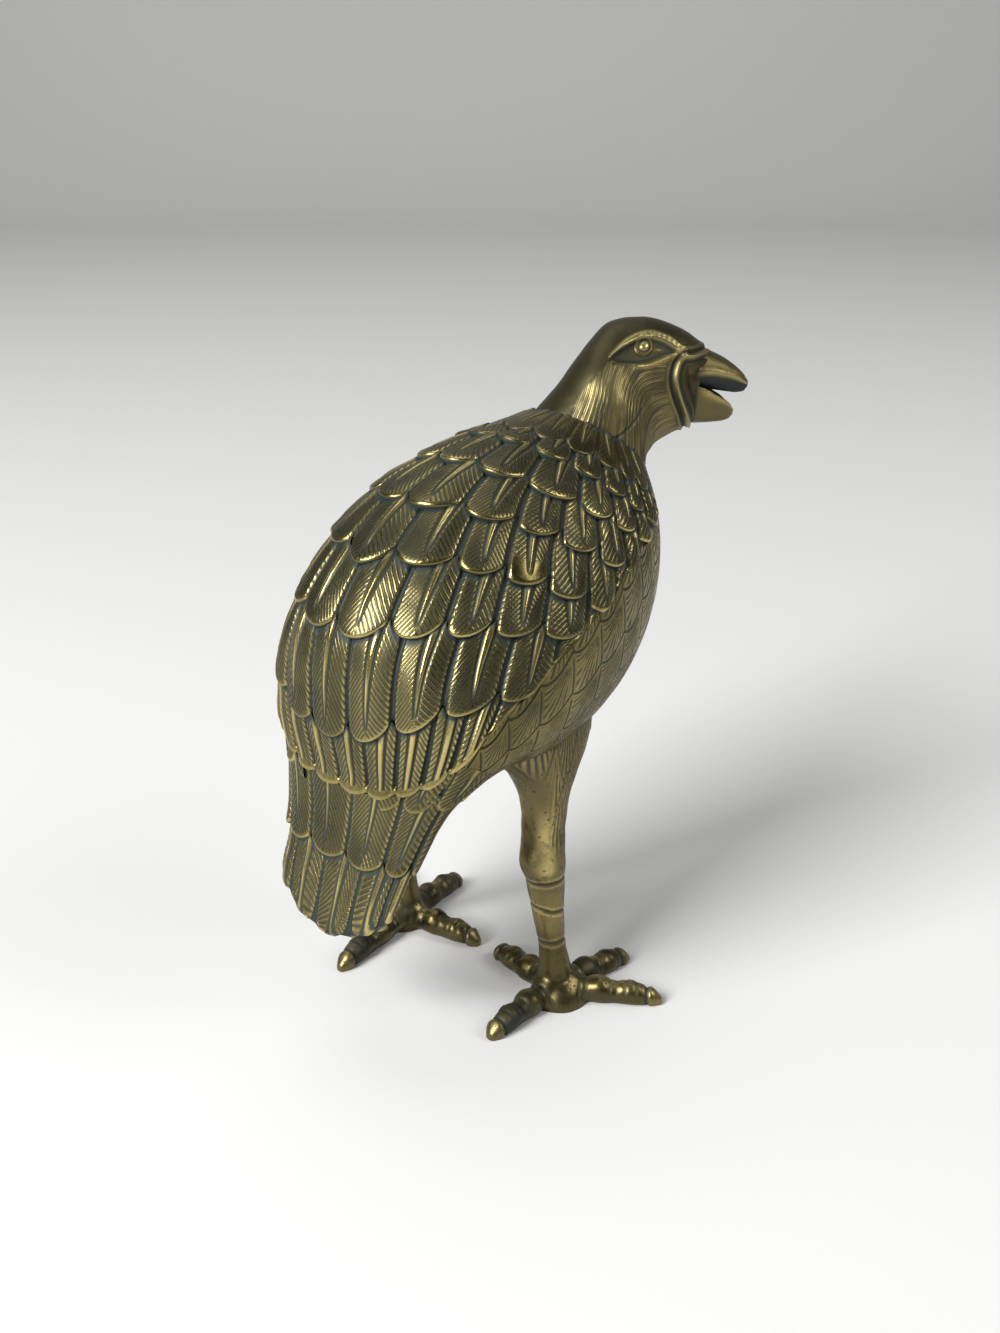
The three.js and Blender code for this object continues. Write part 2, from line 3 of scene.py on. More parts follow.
import bpy
import numpy as np
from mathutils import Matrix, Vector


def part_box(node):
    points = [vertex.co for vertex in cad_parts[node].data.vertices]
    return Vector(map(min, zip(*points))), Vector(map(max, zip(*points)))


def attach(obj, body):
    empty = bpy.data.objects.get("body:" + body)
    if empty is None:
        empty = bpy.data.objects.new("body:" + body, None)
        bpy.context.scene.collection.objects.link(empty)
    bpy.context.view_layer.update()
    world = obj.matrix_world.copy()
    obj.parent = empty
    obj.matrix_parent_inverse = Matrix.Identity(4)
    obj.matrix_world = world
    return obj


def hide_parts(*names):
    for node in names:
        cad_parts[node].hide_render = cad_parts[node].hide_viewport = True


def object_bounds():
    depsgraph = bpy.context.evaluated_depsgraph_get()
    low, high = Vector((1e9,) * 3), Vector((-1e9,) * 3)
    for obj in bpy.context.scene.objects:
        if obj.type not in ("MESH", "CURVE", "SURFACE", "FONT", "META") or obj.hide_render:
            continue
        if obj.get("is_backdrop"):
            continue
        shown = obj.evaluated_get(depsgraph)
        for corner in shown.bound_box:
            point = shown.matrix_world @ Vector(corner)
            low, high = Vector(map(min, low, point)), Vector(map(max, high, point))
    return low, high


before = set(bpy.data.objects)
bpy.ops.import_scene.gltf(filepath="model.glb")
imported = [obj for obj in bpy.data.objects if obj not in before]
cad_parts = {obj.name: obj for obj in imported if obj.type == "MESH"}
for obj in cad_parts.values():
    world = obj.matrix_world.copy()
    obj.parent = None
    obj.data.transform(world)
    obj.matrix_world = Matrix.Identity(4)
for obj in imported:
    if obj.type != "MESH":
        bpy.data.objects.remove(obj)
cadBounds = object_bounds()
scene = bpy.context.scene
perMetre = 1000  # sizes below are in mm
print("frame loaded")

# The drawing's own zero lies under the bird's middle; the cup is centred 2 mm behind it
cup = {"centreX": -2.0, "seat": 65.1}
cupLow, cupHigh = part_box("incense_cup")
standMiddle = cup["centreX"] - perMetre * (cupLow.x + cupHigh.x) / 2


# Smooth lines through stations

def smoothAt(values, station):
    # Catmull-Rom through rows of values at whole stations
    values = np.asarray(values, float)
    last = len(values) - 1
    padded = np.vstack([2 * values[0] - values[1], values, 2 * values[-1] - values[-2]])
    station = np.clip(station, 0, last)
    low = np.minimum(station.astype(int), last - 1)
    s = (station - low)[..., None]
    a, b, c, d = (padded[low + i] for i in range(4))
    return 0.5 * (2 * b + (c - a) * s + (2 * a - 5 * b + 4 * c - d) * s ** 2
                  + (3 * b - a - 3 * c + d) * s ** 3)


def smoothStep(low, high, value):
    s = np.clip((value - low) / (high - low), 0, 1)
    return s * s * (3 - 2 * s)


def bell(value, width):
    return np.exp(-(value / width) ** 2)


def unit(vectors):
    return vectors / (np.linalg.norm(vectors, axis=-1, keepdims=True) + 1e-12)


# The body from tail tip to neck: back x, back z, belly x, belly z, half width, in mm
bodyStations = np.array([
    (-48.9, 30.2, -47, 29.8, 16.5),
    (-46, 40.4, -40.8, 38.4, 17.6),
    (-42.6, 51.5, -34.8, 47.6, 19.4),
    (-41.5, 64.6, -26.6, 57.6, 23.4),
    (-43.6, 79, -11.5, 61.4, 29),
    (-41.9, 97.3, 8.3, 57.4, 32),
    (-31, 113.2, 26.3, 60.8, 33),
    (-16.8, 123.4, 41.2, 69.5, 31.2),
    (0.3, 128.7, 51, 84, 27),
    (14.6, 130.9, 54, 100, 21.4),
    (26.3, 132.6, 52.3, 113, 15.2),
])
neckStation = len(bodyStations) - 1.0
tailTip = {"length": 1.0, "fullness": 0.65, "least": 0.12}
shell = {"wall": 2.4, "cavityFrom": 1.95, "seatGap": 0.3}
rimLine = np.array([
    (-60, 57), (-52, 58.5), (-46, 60.3), (-42, 63.2), (-38, 68), (-32, 74.6), (-22, 83.2),
    (-9, 90.4), (3, 96), (15, 101.2), (27, 105.6), (40, 109.5),
])
rimFront = rimLine[-1, 0]
neckOpening = {"centreX": 40, "reachBack": 14.2, "halfWidth": 15.6}
probe = 0.02  # small step for slopes, in stations and radians


def tailRounding(station):
    past = 1 - np.clip(station / tailTip["length"], 0, 1)
    return np.maximum((1 - past ** 2) ** tailTip["fullness"], tailTip["least"])


def bareBody(station, angle):
    # angle 0 is the spine, positive angles lie on the left
    v = smoothAt(bodyStations, station)
    lean = np.cos(angle)
    x = (v[..., 0] + v[..., 2]) / 2 + (v[..., 0] - v[..., 2]) / 2 * lean
    z = (v[..., 1] + v[..., 3]) / 2 + (v[..., 1] - v[..., 3]) / 2 * lean
    return np.stack([x, v[..., 4] * tailRounding(station) * np.sin(angle), z], -1)


def slopes(surface, station, angle, last):
    near = np.clip(station, probe, last - probe)
    along = surface(near + probe, angle) - surface(near - probe, angle)
    across = surface(near, angle + probe) - surface(near, angle - probe)
    return along, across


def bodyFrame(station, angle):
    # points, outward directions, mm per radian and mm per station
    along, across = slopes(bareBody, station, angle, neckStation)
    perRadian, perStation = (np.linalg.norm(v, axis=-1) / (2 * probe) for v in (across, along))
    return bareBody(station, angle), unit(np.cross(along, across)), perRadian, perStation


rimCurve = smoothAt(rimLine, np.linspace(0, len(rimLine) - 1, 400))


def rimHeight(x):
    return np.interp(x, rimCurve[:, 0], rimCurve[:, 1])


# Uneven fields for hand work

def ripple(x, y, size, seed):
    # smooth uneven field between -1 and 1, which repeats after a number of cells
    cells, startX, startY = 64, 31.7, 17.3
    table = np.random.default_rng(seed).uniform(-1, 1, (cells, cells))
    x, y = np.broadcast_arrays(np.asarray(x) / size + startX, np.asarray(y) / size + startY)
    i, j = np.floor(x).astype(int), np.floor(y).astype(int)
    fx, fy = x - i, y - j
    fx, fy = fx * fx * (3 - 2 * fx), fy * fy * (3 - 2 * fy)
    corner = lambda a, b: table[(i + a) % cells, (j + b) % cells]
    return ((corner(0, 0) * (1 - fx) + corner(1, 0) * fx) * (1 - fy)
            + (corner(0, 1) * (1 - fx) + corner(1, 1) * fx) * fy)


def toolMarks(points, size, seed):
    return ripple(points[..., 0] + 0.6 * points[..., 1], points[..., 2] - 0.4 * points[..., 1], size, seed)


def softened(field, rowReach, columnReach):
    # box blur, twice, along rows and columns
    for axis, reach in ((0, rowReach), (1, columnReach)):
        reach = max(int(reach), 1)
        pad = [(reach + 1, reach) if a == axis else (0, 0) for a in (0, 1)]
        for _ in range(2):
            total = np.cumsum(np.pad(field, pad, mode="edge"), axis=axis)
            high = np.take(total, range(2 * reach + 1, total.shape[axis]), axis=axis)
            low = np.take(total, range(0, total.shape[axis] - 2 * reach - 1), axis=axis)
            field = (high - low) / (2 * reach + 1)
    return field


def cutLine(phase, fineness=0.5):
    # narrow cuts at whole numbers of the phase
    return smoothStep(fineness, fineness + 0.45, 0.5 + 0.5 * np.cos(2 * np.pi * phase))


# Meshes

def makePiece(name, points, faces, masks, home, finish):
    # points in mm in the bird's own drawing, faces as rows of vertex numbers
    body, node = home
    slot, material = finish
    mesh = bpy.data.meshes.new(name)
    place = (np.asarray(points, float).reshape(-1, 3) - (standMiddle, 0, 0)) / perMetre
    faces = np.asarray(faces, np.int32)
    used = np.zeros(len(place), bool)
    used[faces.ravel()] = True
    faces = (np.cumsum(used) - 1)[faces]
    mesh.vertices.add(int(used.sum()))
    mesh.vertices.foreach_set("co", place[used].astype(np.float32).ravel())
    mesh.loops.add(faces.size)
    mesh.loops.foreach_set("vertex_index", faces.ravel().astype(np.int32))
    mesh.polygons.add(len(faces))
    mesh.polygons.foreach_set("loop_start", np.arange(0, faces.size, faces.shape[1], dtype=np.int32))
    mesh.update(calc_edges=True)
    for mask, values in masks.items():
        layer = mesh.attributes.new(mask, "FLOAT", "POINT")
        values = np.asarray(values, float).ravel()[used]
        if mask != "strand":
            values = np.clip(values, 0, 1)
        layer.data.foreach_set("value", values.astype(np.float32))
    mesh.shade_smooth()
    piece = bpy.data.objects.new(name, mesh)
    scene.collection.objects.link(piece)
    mesh.materials.append(material)
    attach(piece, body)
    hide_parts(node)


def gridFaces(rows, columns, closed=False, keep=None):
    side = np.arange(columns if closed else columns - 1)
    row = np.arange(rows - 1)[:, None]
    right = (side + 1) % columns
    a = row * columns + side
    b = row * columns + right
    faces = np.stack([a, b, b + columns, a + columns], -1).reshape(-1, 4)
    if keep is not None:
        faces = faces[keep.ravel()[faces].any(1)]
    return faces


def known(edge):
    return ~np.isnan(edge[..., 0])


def clipColumns(points, signed):
    # Keeps the first stretch of each column where signed is positive, draws the rest to its ends, and gives
    # the lines of these ends, unknown where nothing is cut
    rows, columns = signed.shape
    column, index = np.arange(columns), np.arange(rows)[:, None]
    inside = signed > 0
    some = inside.any(0)
    first = inside.argmax(0)
    ends = ~inside & (index >= first)
    last = np.where(ends.any(0), ends.argmax(0), rows) - 1

    def crossing(outer, inner):
        outer = np.clip(outer, 0, rows - 1)
        s0, s1 = signed[outer, column], signed[inner, column]
        share = np.where(outer == inner, 0, s1 / np.where(s1 - s0 == 0, 1, s1 - s0))[:, None]
        return points[inner, column] * (1 - share) + points[outer, column] * share

    lowEdge = crossing(np.where(first > 0, first - 1, first), first)
    highEdge = crossing(np.where(last < rows - 1, last + 1, last), np.clip(last, 0, rows - 1))
    clipped = np.where((index < first)[..., None], lowEdge[None], points)
    clipped = np.where((index > last)[..., None], highEdge[None], clipped)
    kept = (index >= first) & (index <= last) & some
    lowEdge[~some | (first == 0)] = np.nan
    highEdge[~some | (last == rows - 1)] = np.nan
    return clipped, kept, lowEdge, highEdge


def clippedFaces(points, kept, widest=3.5):
    # faces of a clipped grid, without those drawn out over a gap
    faces = gridFaces(*kept.shape, keep=kept)
    faces = faces[kept.any(0)[faces % kept.shape[1]].all(1)]
    corners = points.reshape(-1, 3)[faces]
    sides = np.linalg.norm(corners - np.roll(corners, 1, axis=1), axis=-1)
    return faces[sides.max(1) < widest]


def clippedPiece(name, points, signed, masks, home, finish, inward=False):
    # makes what a grid keeps where signed is positive, and gives its two cut edges
    clipped, kept, lowEdge, highEdge = clipColumns(points, signed)
    faces = clippedFaces(clipped, kept)
    makePiece(name, clipped, faces[:, ::-1] if inward else faces, masks, home, finish)
    return lowEdge, highEdge


def ribbon(name, first, second, home, finish, steps=3, widest=14):
    # a strip between two edges, left out where either is unknown or broken
    share = np.linspace(0, 1, steps)[:, None, None]
    points = first[None] * (1 - share) + second[None] * share
    sound = known(points).all(0)
    near = (np.linalg.norm(np.diff(points, axis=1), axis=-1) < widest).all(0)
    faces = gridFaces(steps, len(first))
    faces = faces[sound[faces % len(first)].all(1) & near[faces[:, 0] % len(first)]]
    tone = np.full(points.shape[:2], 0.25)
    makePiece(name, np.nan_to_num(points), faces, {"patina": tone, "polishAndSheen": tone}, home, finish)


# Shared shader groups

def newGroup(name, inputs, outputs):
    # named inputs with their first values, and named outputs
    group = bpy.data.node_groups.new(name, "ShaderNodeTree")
    for label, value in inputs.items():
        kind = "NodeSocketColor" if isinstance(value, tuple) else "NodeSocketFloat"
        group.interface.new_socket(name=label, in_out="INPUT", socket_type=kind).default_value = value
    for label in outputs:
        kind = "NodeSocketColor" if label == "Color" else "NodeSocketFloat"
        group.interface.new_socket(name=label, in_out="OUTPUT", socket_type=kind)
    return group, group.nodes.new("NodeGroupInput").outputs, group.nodes.new("NodeGroupOutput").inputs


def linkAll(tree, sources, sockets):
    for label, source in sources.items():
        tree.links.new(source, sockets[label])


def addNode(tree, kind, settings=None, links=None):
    node = tree.nodes.new(kind)
    for key, value in (settings or {}).items():
        if hasattr(node, key) and key not in node.inputs:
            setattr(node, key, value)
        else:
            node.inputs[key].default_value = value
    linkAll(tree, links or {}, node.inputs)
    return node


def mathNode(tree, operation, first, second=None, clamp=False):
    node = tree.nodes.new("ShaderNodeMath")
    node.operation = operation
    node.use_clamp = clamp
    for i, value in enumerate((first, second)):
        if value is None:
            continue
        if isinstance(value, (int, float)):
            node.inputs[i].default_value = value
        else:
            tree.links.new(value, node.inputs[i])
    return node.outputs[0]


def mathsFor(tree):
    # times, plus, minus and the larger of two, each as a function that adds its node to the tree
    def maker(operation):
        return lambda first, second, clamp=False: mathNode(tree, operation, first, second, clamp)
    return [maker(operation) for operation in ("MULTIPLY", "ADD", "SUBTRACT", "MAXIMUM")]


def mixColours(tree, factor, first, second):
    node = tree.nodes.new("ShaderNodeMix")
    node.data_type = "RGBA"
    for socket, value in ((node.inputs[0], factor), (node.inputs[6], first), (node.inputs[7], second)):
        if isinstance(value, (int, float, tuple)):
            socket.default_value = value
        else:
            tree.links.new(value, socket)
    return node.outputs[2]


mottle = {"clouds": (0.3, 0.7), "specks": (0.6, 0.72), "speckSize": 10 / 9}


def mottleGroup():
    # cloudy tone, fine grain and sparse specks, in millimetres over the object
    group, given, out = newGroup("brassMottle", {"Cloud Size": 9.0, "Grain Size": 0.6},
                                 ("Cloud", "Grain", "Specks"))
    place = addNode(group, "ShaderNodeTexCoord").outputs["Object"]

    def noise(detail, roughness, size):
        node = addNode(group, "ShaderNodeTexNoise", {"Detail": detail, "Roughness": roughness}, {"Vector": place})
        if isinstance(size, float):
            node.inputs["Scale"].default_value = perMetre / size
        else:
            group.links.new(mathNode(group, "DIVIDE", perMetre, size), node.inputs["Scale"])
        return node.outputs[0]

    def between(ends, value):
        spread = addNode(group, "ShaderNodeMapRange", {"From Min": ends[0], "From Max": ends[1]}, {"Value": value})
        return spread.outputs[0]

    linkAll(group, {
        "Cloud": between(mottle["clouds"], noise(4.0, 0.6, given["Cloud Size"])),
        "Grain": noise(3.0, 0.7, given["Grain Size"]),
        "Specks": between(mottle["specks"], noise(2.0, 0.5, mottle["speckSize"])),
    }, out)
    return group


def engravingGroup():
    # fine cuts at whole numbers of the phase, and the worn land between them
    group, given, out = newGroup("engravedLines", {"Phase": 0.0, "Depth": 0.0, "Sharpness": 0.38},
                                 ("Line", "Land"))
    times, plus, minus, _ = mathsFor(group)
    turn = times(given["Phase"], 2 * math.pi)
    wave = plus(times(mathNode(group, "COSINE", turn), 0.5), 0.5)
    cut = addNode(group, "ShaderNodeMapRange", {"interpolation_type": "SMOOTHSTEP", "From Max": 1.0},
                  {"Value": wave, "From Min": given["Sharpness"]}).outputs[0]
    linkAll(group, {"Line": times(cut, given["Depth"], True),
                    "Land": times(minus(1.0, wave), given["Depth"], True)}, out)
    return group


# How much each effect counts in the old brass
ageing = {
    "cloudDull": 0.75, "landWear": 0.12, "grainWear": 0.8, "leastWear": 0.5,
    "lineStain": 0.75, "grainStain": 0.9, "leastStain": 0.55, "grainPale": 0.9,
    "grainRough": 0.12, "wearSmooth": 0.13, "stainRough": 0.3, "stainCovers": 0.85,
    "grainHeight": 0.6, "lineDepth": 1.1, "speckDepth": 0.5, "bumpDistance": 0.00014,
}


def agedBrassGroup(mottling, engraving):
    # old brass: patina in its lines, worn crests together with painted highlights, cloudy tone
    group, given, out = newGroup("agedBrass", {
        "Patina": 0.0, "Polish And Sheen": 0.0, "Strand": 0.0, "Strand Depth": 0.0,
        "Brass": (0.2, 0.16, 0.07, 1), "Dull": (0.1, 0.09, 0.05, 1), "Worn And Sheen": (0.6, 0.46, 0.2, 1),
        "Deposit": (0.03, 0.045, 0.04, 1), "Pale Deposit": (0.05, 0.08, 0.075, 1),
        "Base Roughness": 0.36, "Cloud Size": 9.0, "Grain Size": 0.5, "Specks": 0.35,
    }, ("Color", "Roughness", "Metallic", "Height"))
    times, plus, minus, larger = mathsFor(group)
    field = addNode(group, "ShaderNodeGroup", {"node_tree": mottling},
                    {label: given[label] for label in ("Cloud Size", "Grain Size")}).outputs
    lines = addNode(group, "ShaderNodeGroup", {"node_tree": engraving},
                    {"Phase": given["Strand"], "Depth": given["Strand Depth"]}).outputs
    grain, specks = field["Grain"], times(field["Specks"], given["Specks"])
    metal = mixColours(group, times(field["Cloud"], ageing["cloudDull"]), given["Brass"], given["Dull"])
    # Polish And Sheen brings in worn brass and painted highlights alike; both take the bright Worn And Sheen
    # colour.
    rubbedAndSheen = plus(given["Polish And Sheen"], times(lines["Land"], ageing["landWear"]))
    wearAndSheen = times(rubbedAndSheen, plus(times(grain, ageing["grainWear"]), ageing["leastWear"]), True)
    metal = mixColours(group, wearAndSheen, metal, given["Worn And Sheen"])
    settled = larger(given["Patina"], times(lines["Line"], ageing["lineStain"]))
    ragged = times(settled, plus(times(grain, ageing["grainStain"]), ageing["leastStain"]), True)
    stain = larger(ragged, specks)
    deposit = mixColours(group, times(grain, ageing["grainPale"]), given["Deposit"], given["Pale Deposit"])
    rough = plus(given["Base Roughness"], times(grain, ageing["grainRough"]))
    rough = minus(rough, times(wearAndSheen, ageing["wearSmooth"]))
    bump = minus(times(grain, ageing["grainHeight"]), times(lines["Line"], ageing["lineDepth"]))
    linkAll(group, {
        "Color": mixColours(group, stain, metal, deposit),
        "Roughness": plus(rough, times(stain, ageing["stainRough"]), True),
        "Metallic": minus(1.0, times(stain, ageing["stainCovers"]), True),
        "Height": minus(bump, times(specks, ageing["speckDepth"])),
    }, out)
    return group


agedBrass = agedBrassGroup(mottleGroup(), engravingGroup())


def brassMaterial(name, bump, look):
    material = bpy.data.materials.new(name)
    material.use_nodes = True
    tree = material.node_tree
    tree.nodes.clear()
    aged = addNode(tree, "ShaderNodeGroup", {"node_tree": agedBrass, **look})
    for attribute, label in (("patina", "Patina"), ("polishAndSheen", "Polish And Sheen"), ("strand", "Strand"),
                             ("strandDepth", "Strand Depth")):
        mask = addNode(tree, "ShaderNodeAttribute", {"attribute_name": attribute})
        tree.links.new(mask.outputs["Fac"], aged.inputs[label])
    relief = addNode(tree, "ShaderNodeBump", {"Strength": bump, "Distance": ageing["bumpDistance"]},
                     {"Height": aged.outputs["Height"]})
    shader = addNode(tree, "ShaderNodeBsdfPrincipled", {}, {
        "Base Color": aged.outputs["Color"], "Roughness": aged.outputs["Roughness"],
        "Metallic": aged.outputs["Metallic"], "Normal": relief.outputs["Normal"],
    })
    out = addNode(tree, "ShaderNodeOutputMaterial")
    tree.links.new(shader.outputs[0], out.inputs["Surface"])
    return material


# The Brass and Dull colours of the chased, head and leg brass are set darker than the aged metal itself: painted
# reflections of dark surroundings.
chasedBrass = brassMaterial("chasedBrass", 0.35, {
    "Brass": (0.095, 0.079, 0.027, 1), "Dull": (0.03, 0.026, 0.012, 1), "Worn And Sheen": (0.58, 0.47, 0.18, 1),
    "Deposit": (0.004, 0.008, 0.0085, 1), "Pale Deposit": (0.026, 0.05, 0.05, 1), "Base Roughness": 0.23,
    "Cloud Size": 11.0, "Grain Size": 0.5, "Specks": 0.2,
})
headBrass = brassMaterial("headBrass", 0.25, {
    "Brass": (0.09, 0.075, 0.031, 1), "Dull": (0.056, 0.05, 0.028, 1), "Worn And Sheen": (0.58, 0.47, 0.19, 1),
    "Deposit": (0.007, 0.01, 0.0095, 1), "Pale Deposit": (0.02, 0.03, 0.028, 1), "Base Roughness": 0.38,
    "Cloud Size": 8.0, "Grain Size": 0.5, "Specks": 0.15,
})
legBrass = brassMaterial("legBrass", 0.5, {
    "Brass": (0.055, 0.046, 0.019, 1), "Dull": (0.02, 0.019, 0.012, 1), "Worn And Sheen": (0.56, 0.45, 0.18, 1),
    "Deposit": (0.006, 0.009, 0.0085, 1), "Pale Deposit": (0.018, 0.027, 0.025, 1), "Base Roughness": 0.3,
    "Cloud Size": 6.0, "Grain Size": 0.6, "Specks": 0.8,
})
smokedBrass = brassMaterial("smokedBrass", 0.4, {
    "Brass": (0.24, 0.15, 0.07, 1), "Dull": (0.07, 0.05, 0.035, 1), "Worn And Sheen": (0.5, 0.36, 0.18, 1),
    "Deposit": (0.012, 0.011, 0.01, 1), "Pale Deposit": (0.03, 0.028, 0.024, 1), "Base Roughness": 0.48,
    "Cloud Size": 14.0, "Grain Size": 0.8, "Specks": 0.4,
})
print("materials made")

# Where a piece belongs: the body that carries it and the node it replaces. How it is finished: slot, material
onCover, onBowl, onHead = ("cover", "cover"), ("bird", "bowl_body"), ("bird", "neck_and_head")
chased, cast, smoked = ("brass", chasedBrass), ("brass", headBrass), ("inner_brass", smokedBrass)


# Feathers

flankAngle = math.radians(78)
coverFeathers = {"around": 20, "spineWidth": math.radians(22), "flankWidth": math.radians(14),
                 "driftFrom": math.radians(25), "driftTo": math.radians(65)}
# Along the body in stations: where the joints lie on the spine, how far and how soon they climb to the
# flank, lean and drift of the feathers towards the spine, lift of the tips in mm
coverRows = [
    {"joint": 2.3, "climb": 0.3, "curve": 1, "lean": 0.1, "drift": 0, "lift": 1.2},
    {"joint": 4, "climb": 1.55, "curve": 1, "lean": 0.12, "drift": 0, "lift": 1.2},
    {"joint": 5.23, "climb": 1.17, "curve": 0.85, "lean": 0.14, "drift": 0.5, "lift": 1.2},
    {"joint": 6.02, "climb": 0.9, "curve": 0.6, "lean": 0.2, "drift": 0.45, "lift": 1.2, "worn": -54.5},
    {"joint": 6.87, "climb": 0.72, "curve": 0.6, "lean": 0.22, "drift": 0.3, "lift": 1.1},
    {"joint": 7.78, "climb": 0.42, "curve": 1, "lean": 0.18, "drift": -0.2, "lift": 1},
    {"joint": 8.6, "climb": 0.1, "curve": 1, "lean": 0.15, "drift": 0, "lift": 0.8},
    {"joint": 9.1, "climb": 0.15, "curve": 1, "lean": 0.1, "drift": 0, "lift": 0.35, "chasing": 0.5,
     "joints": 0.15},
]
tailFeathers = {"around": 10, "turn": math.radians(9), "underRim": 14, "underRimFrom": math.radians(32)}
tailRows = [
    {"joint": 0.12, "climb": 0, "curve": 1, "lean": 0, "drift": 0, "lift": 0.4},
    {"joint": 1.75, "climb": 0.2, "curve": 1, "lean": 0, "drift": 0, "lift": 0.8},
    {"joint": 2.88, "climb": 0.4, "curve": 1, "lean": 0, "drift": 0, "lift": 0.6},
]
feather = {
    "scallop": 0.23, "rootLift": 0.1, "jointDrop": 0.62, "tipRound": 1.5, "jointWidth": 0.85, "jointDepth": 0.65,
    "wedgeWidth": 1.7, "wedgeStart": 3.0, "wedgeLift": 0.32, "grooveDepth": 0.5,
    "barbStep": 0.88, "barbAngle": math.radians(32), "barbDepth": 0.14, "border": 0.5, "pillow": 0.5,
    "band": 2.0, "unevenness": 0.1, "shift": 0.25, "sway": 0.012, "variety": 0.12, "barbFineness": 0.45,
    "crestShine": 0.45, "tipShine": 0.4, "shaftShine": 0.35, "edgeShine": 0.1, "paintedSheenLevel": 0.5,
    "wornTo": 7.5,
}


def feathersTo(angle):
    # number of feathers from the spine out to an angle
    kind = coverFeathers
    level = np.minimum(np.abs(angle), np.pi / 2)
    narrowing = (1 / kind["flankWidth"] - 1 / kind["spineWidth"]) / (3 * flankAngle ** 2)
    near = level / kind["spineWidth"] + narrowing * level ** 3
    rest = (kind["around"] / 2 - near) * (np.abs(angle) - level) / (np.pi / 2)
    return np.sign(angle) * (near + rest)


def coverNumber(row, angle):
    drifting = smoothStep(coverFeathers["driftFrom"], coverFeathers["driftTo"], np.abs(angle))
    return feathersTo(angle) + np.sign(angle) * row["drift"] * drifting


def tailNumber(row, angle):
    return (angle - tailFeathers["turn"]) * tailFeathers["around"] / (2 * np.pi)


def underRimNumber(row, angle):
    away = np.abs(angle) - tailFeathers["underRimFrom"]
    return np.sign(angle) * (away * tailFeathers["underRim"] / (2 * np.pi) + 0.5)


def featherAcross(layout, row, rowIndex, angle):
    # each row is set over by half a feather
    number = layout(row, angle) + ((rowIndex + 1) % 2) / 2
    return number - np.round(number), np.round(number).astype(int)


def rowBase(row, angle):
    outwards = (1 - np.cos(angle)) / (1 - math.cos(flankAngle))
    return row["joint"] + row["climb"] * outwards ** row["curve"]


def rowEdge(layout, row, rowIndex, angle):
    across, _ = featherAcross(layout, row, rowIndex, angle)
    return rowBase(row, angle) - feather["scallop"] * (1 - np.abs(2 * across) ** 2.3) ** 0.8


def flatAngle(station, angle):
    # angle with the same place across where the tail's tip is rounded
    reach = np.arcsin(np.clip(tailRounding(station) * np.sin(angle), -1, 1))
    return np.where(np.abs(angle) > np.pi / 2, np.sign(angle) * np.pi - reach, reach)


